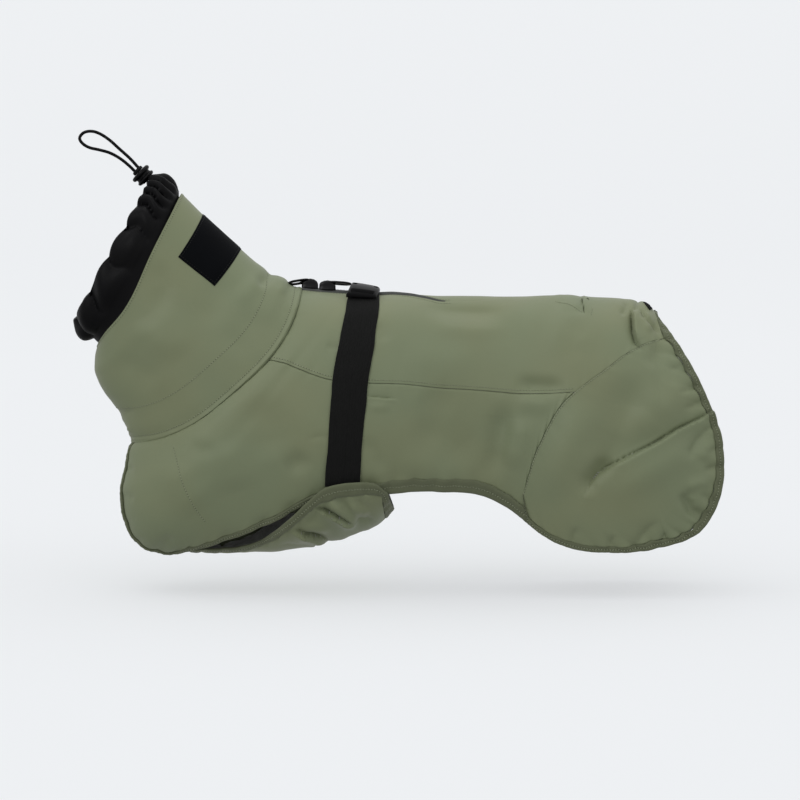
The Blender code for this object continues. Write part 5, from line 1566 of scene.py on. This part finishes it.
class RAINCOAT_OT_gaiter(bpy.types.Operator):
    """Gathers the black neck tube inside the collar's mouth"""

    bl_idname = "raincoat.gaiter"
    bl_label = "Neck gaiter"
    ROWS, COLUMNS = 46, 252
    GATHER, RIPPLE = 0.62, 0.2  # shares of the gathers' depth

    def execute(self, context):
        sizes = context.scene.raincoat_sizes
        wall = sizes.cloth_wall / MM
        angles = turns(self.COLUMNS)
        outer, inner = [], []
        tucked = COLLAR_PROUD - 1.8 - GAITER_TUCKED
        for section in GAITER_BEHIND:
            base, facing = PATTERN.collar.laid(np.full(angles.shape, section), angles)
            outer.append(base + facing * tucked)
            inner.append(base + facing * (tucked - wall))
        for section in np.linspace(0, len(GAITER) - 1, self.ROWS):
            base, facing = PATTERN.gaiter.laid(np.full(angles.shape, section), angles)
            depth = float(smooth_rows(GATHER_DEPTH, section)[0])
            shifted = angles + 0.04 * np.sin(2 * section + 4 * angles)
            rise = self.GATHER * depth * gathers(shifted)
            rise = rise + self.RIPPLE * depth * np.sin(6 * angles + 1.7 * section + 2 * np.sin(3 * angles))
            rise = rise * ramp(np.full(angles.shape, section + 0.12), 0.5)
            outer.append(base + facing * rise[:, None])
            inner.append(base + facing * (rise - wall)[:, None])
        around = np.array(outer)
        mesh = shell(around, np.array(inner), closed=True, lining=False)
        piece = add_piece("gaiter_tube", mesh, ("gaiter_cloth",), ("neck_gaiter",))
        declare_sheet(np.concatenate([around, around[:, :1]], 1), "gathered")
        return {"FINISHED"}


class RAINCOAT_OT_belly(bpy.types.Operator):
    """Lays the chest and belly sling with its gathered binding"""

    bl_idname = "raincoat.belly"
    bl_label = "Chest and belly sling"
    FREE_ROWS, BOUND_ROWS, COLUMNS = 60, 120, 90

    def execute(self, context):
        sizes = context.scene.raincoat_sizes
        form = PATTERN.belly
        last = len(BELLY) - 1
        cloth_end = last - 1
        free = np.linspace(BELLY_START, BELLY_WHOLE_TO, self.FREE_ROWS)
        bound = np.linspace(BELLY_BOUND_FROM, cloth_end, self.BOUND_ROWS)
        sections = np.concatenate([free, bound])
        share = np.concatenate([np.ones(len(free)), self.share(bound) + 0.02])
        across = np.linspace(-1, 1, self.COLUMNS + 1)[None, :] * share[:, None]
        places = np.stack([np.broadcast_to(sections[:, None], across.shape), across], axis=-1)
        edges = {"start": "bound", "end": "bound"}
        left, right = (
            coat_panel(form, places, folds, edges, sizes, 0.4) for folds in (BELLY_FOLDS, RIGHT_BELLY_FOLDS)
        )
        blend = ramp(across / 0.5 + 0.5, 1)[..., None]
        outer = left.outer + (right.outer - left.outer) * blend
        inner = left.inner + (right.inner - left.inner) * blend
        mesh = shell(outer, inner)
        piece = add_piece("belly_cloth", mesh, COAT_CLOTH, ("chest_belly_panel",))
        declare_sheet(outer, "draped")

        rear = np.linspace(-1, 1, 60)[1:-1]
        inside = [(s, -self.share(s)) for s in bound]
        outside = [(s, -1) for s in bound[:-1]] + [(BELLY_CORNER[0], -BELLY_CORNER[1])]
        inside += [(cloth_end, v * self.share(cloth_end)) for v in rear]
        outside += [(last, v) for v in rear]
        inside += [(s, self.share(s)) for s in bound[::-1]]
        outside += [BELLY_CORNER] + [(s, 1) for s in bound[-2::-1]]
        points = bound_edge(form, np.array(inside), np.array(outside), BELLY_FOLDS, 3.1, "bound", 1.3)
        mesh = strip(points)
        piece = add_piece("belly_edge", mesh, ("binding_cloth",), ("belly_binding",))
        sewing = sewn("belly_stitches", [middle_stitches(points)], sizes, zigzag=0.55)
        declare_sheet(folded_middle(points), "folded")
        return {"FINISHED"}

    def share(self, section):
        """The share of the half width that the cloth has, inside the binding."""
        row = smooth_rows(BELLY, section)
        half = np.hypot(row[..., 4], np.linalg.norm(row[..., 2:4] - row[..., 0:2], axis=-1))
        return 1 - BELLY_BINDING / half


class RAINCOAT_OT_straps(bpy.types.Operator):
    """Weaves the ribbed elastic strap, one half on each side"""

    bl_idname = "raincoat.straps"
    bl_label = "Elastic strap"
    COLUMNS = 61
    PLACES = 9
    ROW_PITCH = 2.2
    RIB_HIGH = 0.38
    EDGE_ROUND = 0.5
    SWAY, LOOSE = 0.012, 0.25  # how unevenly it runs, as a share of its width, and how unevenly it lies

    def execute(self, context):
        sizes = context.scene.raincoat_sizes
        torso = PATTERN.torso
        spread = np.linspace(0, 1, self.PLACES)
        table = []
        for z, front, rear, clear in STRAP:
            found = np.array([torso.find(front + (rear - front) * s, z) for s in spread])
            table.append(np.concatenate([found.ravel(), [clear]]))
        line = smooth_rows(table, np.linspace(0, len(table) - 1, 170))
        edge = torso.bare(line[:, 8], line[:, 9])
        run = run_along(edge)
        at = np.linspace(0, run[-1], int(run[-1] / self.ROW_PITCH))
        rows = at_runs(at, run, line)
        share = np.linspace(0, 1, self.COLUMNS)
        wide = np.ptp(np.array(STRAP)[:, 1:3], axis=1).mean()
        rib = np.abs(np.sin(math.pi * share * wide / (sizes.rib_pitch / MM))) ** 0.7 * self.RIB_HIGH
        for side in SEEDS:
            top, low = [], []
            for k, across in enumerate(share):
                wobble = across + self.SWAY * uneven(at, 47, SEEDS[side] + 0.3) * (1 if across > 0.5 else -1)
                section = np.array([np.interp(w, spread, row[:-1:2]) for w, row in zip(wobble, rows)])
                angle = np.array([np.interp(w, spread, row[1::2]) for w, row in zip(wobble, rows)])
                base, facing = torso.laid(section, angle)
                round_ = self.EDGE_ROUND * (abs(2 * across - 1) ** 8)
                clear = rows[:, -1] + self.LOOSE * uneven(at, 34, SEEDS[side] + 0.6 * across)
                top.append(base + facing * (clear + STRAP_WALL - self.RIB_HIGH + rib[k] - round_)[:, None])
                low.append(base + facing * (clear + round_)[:, None])
            mesh = strip(on_side(np.array(top + low[::-1]).transpose(1, 0, 2), side))
            node = "strap_" + side
            piece = add_piece("strap_web_" + side, mesh, ("strap_webbing",), (node,))
            declare_sheet(np.array(top).transpose(1, 0, 2), "stretched")
        return {"FINISHED"}


class RAINCOAT_OT_buckle(bpy.types.Operator):
    """Moulds the side-release buckle over the spine"""

    bl_idname = "raincoat.buckle"
    bl_label = "Buckle"
    ROWS, COLUMNS = 46, 34
    CROWN, CROWN_HALF = {"buckle_socket": 0.9, "buckle_plug": 0.7}, 15  # height and half length
    BAR, BAR_HALF, BAR_DEEP = (22, 27), 12, 2.6  # the recess at each strap's bar, from y to y
    WINDOW_X, WINDOW_Y, WINDOW_DEEP = (8, 13.2), (-12, 3), 2.4  # beside the socket's middle
    RIBS, RIBS_HALF, RIB_PITCH, RIB_HIGH = (9, 18), 10, 2.2, 0.35  # the plug's grip

    def execute(self, context):
        halves = {
            "buckle_socket": (-BUCKLE_HALF, BUCKLE_SPLIT),
            "buckle_plug": (BUCKLE_SPLIT + BUCKLE_SPLIT_GAP, BUCKLE_HALF),
        }
        torso = PATTERN.torso
        along = np.linspace(BUCKLE_FRONT, BUCKLE_REAR, self.COLUMNS)
        sections = section_at(torso, along)
        for name, ends in halves.items():
            rows = self.ROWS if name == "buckle_socket" else int(self.ROWS * 0.7)
            y = np.linspace(*ends, rows)
            grid_x, grid_y = np.meshgrid(along, y)
            where = np.broadcast_to(sections, grid_y.shape)
            base, facing = torso.laid(where, angle_of(torso, where, grid_y))
            high = np.interp(grid_x, (BUCKLE_FRONT, BUCKLE_REAR), (BUCKLE_HIGH_FRONT, BUCKLE_HIGH_REAR))
            high = high * (1 - 0.3 * (grid_y / BUCKLE_HALF) ** 2) + self.relief(name, grid_x, grid_y)
            edge = np.minimum(grid_x - BUCKLE_FRONT, BUCKLE_REAR - grid_x)
            rim = np.minimum(edge, np.minimum(grid_y - ends[0], ends[1] - grid_y))
            high = high - 2 * np.exp(-rim / 0.9)
            top = base + facing * (BUCKLE_CLEAR + high)[..., None]
            low = base + facing * (BUCKLE_CLEAR + 0.6 * np.exp(-rim / 0.7))[..., None]
            mesh = shell(top, low, lining=False)
            add_piece(name + "_moulding", mesh, ("moulded_plastic",), (name,))
        return {"FINISHED"}

    def relief(self, name, x, y):
        """The crown, the recesses and the ribs of the buckle's top."""
        across = np.abs(x - (BUCKLE_FRONT + BUCKLE_REAR) / 2)
        crown = self.CROWN[name] * (1 - (across / self.CROWN_HALF) ** 2)
        outward = -y if name == "buckle_socket" else y
        crown = crown - self.BAR_DEEP * between(outward, *self.BAR, 1.2) * ramp(self.BAR_HALF - across, 1.5)
        if name == "buckle_socket":
            slots = between(across, *self.WINDOW_X, 1.2) * between(y, *self.WINDOW_Y, 1.5)
            return crown - self.WINDOW_DEEP * slots
        ribs = self.RIB_HIGH * np.sin(y * 2 * math.pi / self.RIB_PITCH) * between(y, *self.RIBS, 1)
        return crown + ribs * ramp(self.RIBS_HALF - across, 1.5)


class RAINCOAT_OT_zip(bpy.types.Operator):
    """Sews in the closed back zip and paints its sliders and pull tabs"""

    bl_idname = "raincoat.zip"
    bl_label = "Zip"
    ROWS, COLUMNS = 120, 41
    BAND_HIGH, BAND_WIDE = 4.3, 0.62  # the closed tapes' middle: its height, and share of the slot
    COIL_HIGH, COIL_WIDE, COIL_POINTS, COIL_THREAD = 4.3, 0.42, 7, 0.4
    HOOD = (
        # along the slider, half width, height of the hood
        (-8.3, 2.6, 4.4), (-8, 4, 6.2), (-6.8, 4.8, 7.8), (-3.4, 5.2, 9), (0.4, 5.2, 9.4),
        (4, 5, 8.8), (6.6, 4.4, 7.4), (7.8, 3.6, 5.8), (8.2, 2.4, 4.4),
    )
    BODY_HIGH = 3.4  # the slider below its hood
    TAB = (12.2, 12, 4.3)  # its middle from the hinge, half length and half width
    TAB_SLOT = (14.5, 5.6, 1.5)
    TAB_THICK = 1.7
    LEAN = {-1: (8, 19, 36), 1: (4, -5, -22)}  # degrees down, aside and twisted

    def execute(self, context):
        torso = PATTERN.torso
        x = np.linspace(ZIP_START, ZIP_END - 1, self.ROWS)
        half = slot_half(x) + 0.6
        shares = np.linspace(-1, 1, self.COLUMNS)
        y = zip_middle(x)[:, None] + half[:, None] * shares
        where = np.broadcast_to(section_at(torso, x)[:, None], y.shape)
        base, facing = torso.laid(where, angle_of(torso, where, y))
        band = np.clip(1 - np.abs(shares) / self.BAND_WIDE, 0, 1) ** 0.35
        band = band * np.minimum(self.BAND_HIGH, self.BAND_WIDE * half)[:, None]
        rise = -0.9 + band - 0.7 * np.exp(-((shares / 0.07) ** 2)) * (band > 0.5)
        outer = base + facing * rise[..., None]
        mesh = shell(outer, base - facing * 1.6, lining=False)
        piece = add_piece("zip_cloth_tape", mesh, ("zip_cloth",), ("zip_tape",))
        coil = add_piece("zip_coil", self.coil(context, torso), ("zip_cloth",))
        declare_sheet(outer, "laid")
        for name, x, way in (("front", SLIDER_X[0], -1), ("rear", SLIDER_X[1], 1)):
            self.slider("zip_slider_" + name, x, torso)
            self.pull("zip_pull_" + name, x, way, PULL_AXIS_Z[name])
        return {"FINISHED"}

    def coil(self, context, torso):
        """The zip's teeth: one arched thread for each turn of the coil."""
        steps = np.linspace(-1, 1, self.COIL_POINTS)
        paths, ups = [], []
        pitch = context.scene.raincoat_sizes.tooth_pitch / MM
        for spot in np.arange(ZIP_START + 1, ZIP_END - 14, pitch):
            where = np.full(self.COIL_POINTS, section_at(torso, spot))
            wide = float(slot_half(spot)) * self.COIL_WIDE
            base, facing = torso.laid(where, angle_of(torso, where, float(zip_middle(spot)) + wide * steps))
            arch = -0.95 + min(self.COIL_HIGH, 1.4 * wide) * (1 - steps**4) ** 0.35
            paths.append(base + facing * arch[:, None])
            ups.append(facing)
        return threads(paths, ups, self.COIL_THREAD)

    def slider(self, name, x, torso):
        """A slider's body with a rounded hood over the bar that holds its tab."""
        foot = float(torso.bare(section_at(torso, x), 1e-4)[2]) + 0.5
        turn = turns(28)
        round_z = squared(np.sin(turn), 0.6)
        rows = []
        for at, half, high in self.HOOD:
            z = self.BODY_HIGH + round_z * np.where(round_z > 0, high - self.BODY_HIGH, self.BODY_HIGH)
            y = half * squared(np.cos(turn), 0.55) * np.where(z > self.BODY_HIGH, 0.72, 1)
            rows.append(np.column_stack([np.full(len(turn), x + at), y, foot + 1.2 * z]))
        add_piece(name + "_hood", strip(np.array(rows)), ("painted_zip",), (name,))

    def pull(self, name, x, way, axis_z):
        """A slotted tab that lies along the zip, turned a little so that its face shows."""
        turn = turns(48)
        middle, long, wide = self.TAB
        blunt = squared(np.cos(turn), 0.7)
        rim = np.column_stack([middle + long * blunt, wide * squared(np.sin(turn), 0.8)])
        middle, long, wide = self.TAB_SLOT
        hole = np.column_stack([middle + long * blunt, wide * np.sin(turn)])
        plate = looped(ring_plate(rim, hole, self.TAB_THICK))
        lean, aside, twist = (math.radians(angle) for angle in self.LEAN[way])
        placed = Matrix.Translation(Vector((x, 0, axis_z)) * MM)
        for angle, axis in ((0 if way > 0 else math.pi, "Z"), (aside, "Z"), (lean, "Y"), (twist, "X")):
            placed = placed @ Matrix.Rotation(angle, 4, axis)
        plate.transform(placed)
        body = "pull_" + name.rsplit("_", 1)[1]
        add_piece(name + "_tab", plate, ("painted_zip",), (name,), body)


class RAINCOAT_OT_drawcord(bpy.types.Operator):
    """Runs the drawcord's loop and turns its lock"""

    bl_idname = "raincoat.drawcord"
    bl_label = "Drawcord and lock"
    BARREL = (
        # radius, height
        (0.6, -5.9), (4.4, -5.9), (5.6, -5.2), (7.4, -4.8), (8.3, -4.2), (8.8, -3.2), (8.6, -2.2),
        (7.6, -1.5), (7.1, -0.8), (7, 0), (7.2, 0.7), (8.6, 1.2), (9.4, 2), (9.6, 3), (9.2, 4.2),
        (8.2, 4.9), (6.2, 5.2), (0.6, 5.2),
    )
    BUTTON = ((0.6, 5.5), (5, 5.5), (5.2, 6.2), (5.2, 7.4), (4.9, 8.1), (4, 8.6), (2.4, 8.8), (0.6, 8.8))

    def execute(self, context):
        route = smooth_path(CORD_ROUTE, CORD_POINTS) * MM
        curve = bpy.data.curves.new("drawcord_loop", "CURVE")
        curve.dimensions = "3D"
        curve.bevel_depth = CORD_RADIUS * MM
        curve.bevel_resolution = 5
        curve.use_fill_caps = True
        line = curve.splines.new("POLY")
        line.points.add(len(route) - 1)
        for point, (x, z) in zip(line.points, route):
            point.co = (x, 0, z, 1)
        line.use_smooth = True
        cord = add_object("drawcord_loop", curve, collection())
        curve.materials.append(finish_of("cord_braid"))
        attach(cord, "coat")
        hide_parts("drawcord")
        placed = Matrix.Translation(Vector((LOCK_AT[0], 0, LOCK_AT[1])) * MM)
        placed = placed @ Matrix.Rotation(math.radians(-LOCK_TILT), 4, "Y")
        for name, profile, node in (
            ("lock_barrel", self.BARREL, "cord_lock"), ("lock_button", self.BUTTON, "cord_lock_button"),
        ):
            mesh = lathe([(1.14 * radius, 1.1 * height) for radius, height in profile])
            mesh.transform(placed)
            add_piece(name, mesh, ("moulded_plastic",), (node,))
        return {"FINISHED"}


class RAINCOAT_OT_label(bpy.types.Operator):
    """Sews the bare woven patch over the top of the collar"""

    bl_idname = "raincoat.label"
    bl_label = "Woven patch"
    ROWS, COLUMNS = 18, 60

    def execute(self, context):
        sizes = context.scene.raincoat_sizes
        form = PATTERN.collar
        rear, front = (form.find(*corner) for corner in LABEL_CORNERS)
        across = np.linspace(-1, 1, self.COLUMNS + 1)
        rows = []
        for t in np.linspace(0, 1, self.ROWS + 1):
            top = LABEL_TOP[0] + (LABEL_TOP[1] - LABEL_TOP[0]) * t
            low = rear + (front - rear) * t
            rows.append([(top + (low[0] - top) * abs(v), low[1] * v) for v in across])
        places = np.array(rows)
        out = COLLAR_PROUD + LABEL_CLEAR + LABEL_WALL
        panel = Panel(form, places, COLLAR_FOLDS, {}, LABEL_WALL, **{**COLLAR_LAY, "out": out})
        edge = np.minimum(panel.from_edge("start")[0], panel.from_edge("end")[0])
        edge = np.minimum(edge, np.minimum(panel.from_edge("first")[0], panel.from_edge("last")[0]))
        sink = 0.5 * np.exp(-edge / 1) + 0.25 * np.exp(-(((edge - LABEL_SEWN) / 0.8) ** 2))
        outer = panel.outer - panel.facing * sink[..., None]
        mesh = shell(outer, panel.inner, lining=False)
        piece = add_piece("label_weave", mesh, ("woven_patch",), ("label_patch",))
        lines = [panel.line(edge, LABEL_SEWN, -0.05) for edge in ("start", "end", "first", "last")]
        sewing = add_piece("label_stitches", stitches(lines, sizes), ("black_thread",))
        declare_sheet(outer, "laid")
        return {"FINISHED"}


class RAINCOAT_OT_tail(bpy.types.Operator):
    """Gathers the elastic and its casing over the tail"""

    bl_idname = "raincoat.tail"
    bl_label = "Tail elastic"
    ROWS, COLUMNS = 12, 45
    WALL, PROUD, RIB_PITCH = 1.6, 1.5, 2.4
    UNDER = 4.6  # how far it goes down under the casing over the spine

    def execute(self, context):
        torso = PATTERN.torso
        sections = np.linspace(*section_at(torso, np.array(ELASTIC_X)), self.ROWS)
        shown = ELASTIC_SHOWS * np.sin(np.linspace(0.5, math.pi - 0.5, self.ROWS))
        angles = torso.angle_at(sections, shown)[:, None] * np.linspace(-1, 1, self.COLUMNS)
        places = np.stack([np.broadcast_to(sections[:, None], angles.shape), angles], axis=-1)
        panel = Panel(torso, places, (), {}, self.WALL, self.PROUD, slackness=0)
        ribs = 0.25 * np.sin(panel.along * 2 * math.pi / self.RIB_PITCH)
        under = self.UNDER * np.exp(-((panel.base[..., 1] / 12) ** 4))[..., None]
        outer = panel.outer + panel.facing * (ribs[..., None] - under)
        mesh = shell(outer, panel.inner - panel.facing * under, lining=False)
        piece = add_piece("tail_band", mesh, ("strap_webbing",), ("tail_elastic",))
        declare_sheet(outer, "gathered")
        return {"FINISHED"}


class RAINCOAT_OT_studio(bpy.types.Operator):
    """Sets up the pale floor, the soft lights and the camera"""

    bl_idname = "raincoat.studio"
    bl_label = "Studio"
    AIM = (0.037, 0, -0.1036)
    SWEEP = (2, 13, 6, 0.5)  # in metres: the bend, the wall's radius and height, and the tipped part
    SPOKES = 96

    def execute(self, context):
        scene = context.scene
        studio = scene.raincoat_studio
        scene.view_settings.view_transform = "Standard"
        camera = bpy.data.cameras.new("studio_camera")
        camera.type = "PERSP"
        camera.sensor_width = 36
        camera.lens = 36 * studio.distance / studio.frame_width
        camera.clip_end = 100
        holder = add_object("studio_camera", camera, scene.collection)
        back = Vector((0, -math.cos(studio.elevation), math.sin(studio.elevation)))
        holder.location = Vector(self.AIM) + back * studio.distance
        holder.rotation_euler = back.to_track_quat("Z", "Y").to_euler()
        scene.camera = holder
        self.sweep(scene, studio)
        self.lights(scene, studio)
        return {"FINISHED"}

    def sweep(self, scene, studio):
        """A round floor that curves up into a wall all the way round, tipped a little under the coat."""
        bend, wall, top, tipped = self.SWEEP
        line = [(radius, 0) for radius in (*np.linspace(0.06, 3, 50), 5, 8, wall - bend)]
        for turn in np.linspace(0, math.pi / 2, 13)[1:]:
            line.append((wall - bend + bend * math.sin(turn), bend * (1 - math.cos(turn))))
        line.append((wall, top))
        verts = [(0, 0, studio.floor)]
        for radius, high in line:
            for turn in turns(self.SPOKES):
                x, y = radius * math.cos(turn), radius * math.sin(turn)
                tip = studio.slope * tipped * math.tanh(y / tipped)
                verts.append((x, y, studio.floor + high + tip))
        beside = [(k, (k + 1) % self.SPOKES) for k in range(self.SPOKES)]
        faces = [(0, 1 + k, 1 + j) for k, j in beside]
        for first in range(1, len(verts) - self.SPOKES, self.SPOKES):
            second = first + self.SPOKES
            faces += [(first + k, second + k, second + j, first + j) for k, j in beside]
        mesh = bpy.data.meshes.new("studio_sweep")
        mesh.from_pydata(verts, [], faces)
        mesh.shade_smooth()
        mesh.materials.append(finish_of("studio_paper"))
        sweep = add_object("studio_sweep", mesh, scene.collection)
        sweep.visible_diffuse = sweep.visible_glossy = sweep.visible_shadow = False

    def lights(self, scene, studio):
        world = bpy.data.worlds.new("studio_air")
        scene.world = world
        world.use_nodes = True
        tree = world.node_tree
        split = tree.nodes.new("ShaderNodeSeparateXYZ")
        tree.links.new(tree.nodes.new("ShaderNodeTexCoord").outputs["Generated"], split.inputs[0])
        spread = tree.nodes.new("ShaderNodeMapRange")
        for socket, value in (
            ("From Min", -0.6), ("From Max", 0.9), ("To Min", studio.ground), ("To Max", studio.sky),
        ):
            spread.inputs[socket].default_value = value
        tree.links.new(split.outputs["Z"], spread.inputs["Value"])
        air = tree.nodes["Background"]
        air.inputs["Color"].default_value = (0.985, 0.99, 1, 1)
        tree.links.new(spread.outputs["Result"], air.inputs["Strength"])
        for name, place, size, power in (
            ("key_light", (-1.5, -2.1, 1.7), 1.3, studio.key * 1.2),
            ("top_light", (0.15, 0.2, 2.4), 1.5, studio.key * 0.6),
            ("side_light", (2.4, -2.2, 0.5), 1.4, studio.key * 0.22),
        ):
            lamp = bpy.data.lights.new(name, "AREA")
            lamp.size = size
            lamp.energy = power
            holder = add_object(name, lamp, scene.collection)
            holder.light_linking.receiver_collection = collection()
            holder.location = place
            way = Vector(place) - Vector(self.AIM)
            holder.rotation_euler = way.to_track_quat("Z", "Y").to_euler()


class RAINCOAT_PT_panel(bpy.types.Panel):
    """Lists the coat's pieces and their settings"""

    bl_label = "Dog raincoat"
    bl_idname = "RAINCOAT_PT_panel"
    bl_space_type = "VIEW_3D"
    bl_region_type = "UI"
    bl_category = "Raincoat"

    def draw(self, context):
        layout = self.layout
        for operator in OPERATORS:
            layout.operator(operator.bl_idname)
        for settings in SETTINGS:
            group = getattr(context.scene, settings)
            box = layout.box()
            for name in group.bl_rna.properties.keys():
                if name not in ("rna_type", "name"):
                    box.prop(group, name)


OPERATORS = (
    RAINCOAT_OT_studio, RAINCOAT_OT_drawcord, RAINCOAT_OT_cloth, RAINCOAT_OT_bindings, RAINCOAT_OT_collar,
    RAINCOAT_OT_gaiter, RAINCOAT_OT_belly, RAINCOAT_OT_straps, RAINCOAT_OT_buckle, RAINCOAT_OT_zip,
    RAINCOAT_OT_label, RAINCOAT_OT_tail,
)
SETTINGS = {
    "raincoat_sizes": RaincoatSizes, "raincoat_colours": RaincoatColours, "raincoat_studio": RaincoatStudio,
}
CLASSES = (*SETTINGS.values(), *OPERATORS, RAINCOAT_PT_panel)


def register():
    for made in CLASSES:
        bpy.utils.register_class(made)
    for name, made in SETTINGS.items():
        setattr(bpy.types.Scene, name, PointerProperty(type=made))


def unregister():
    for name in SETTINGS:
        delattr(bpy.types.Scene, name)
    for made in reversed(CLASSES):
        bpy.utils.unregister_class(made)


def main():
    register()
    for operator in OPERATORS:
        group, name = operator.bl_idname.split(".")
        getattr(getattr(bpy.ops, group), name)()


if __name__ == "__main__":
    main()
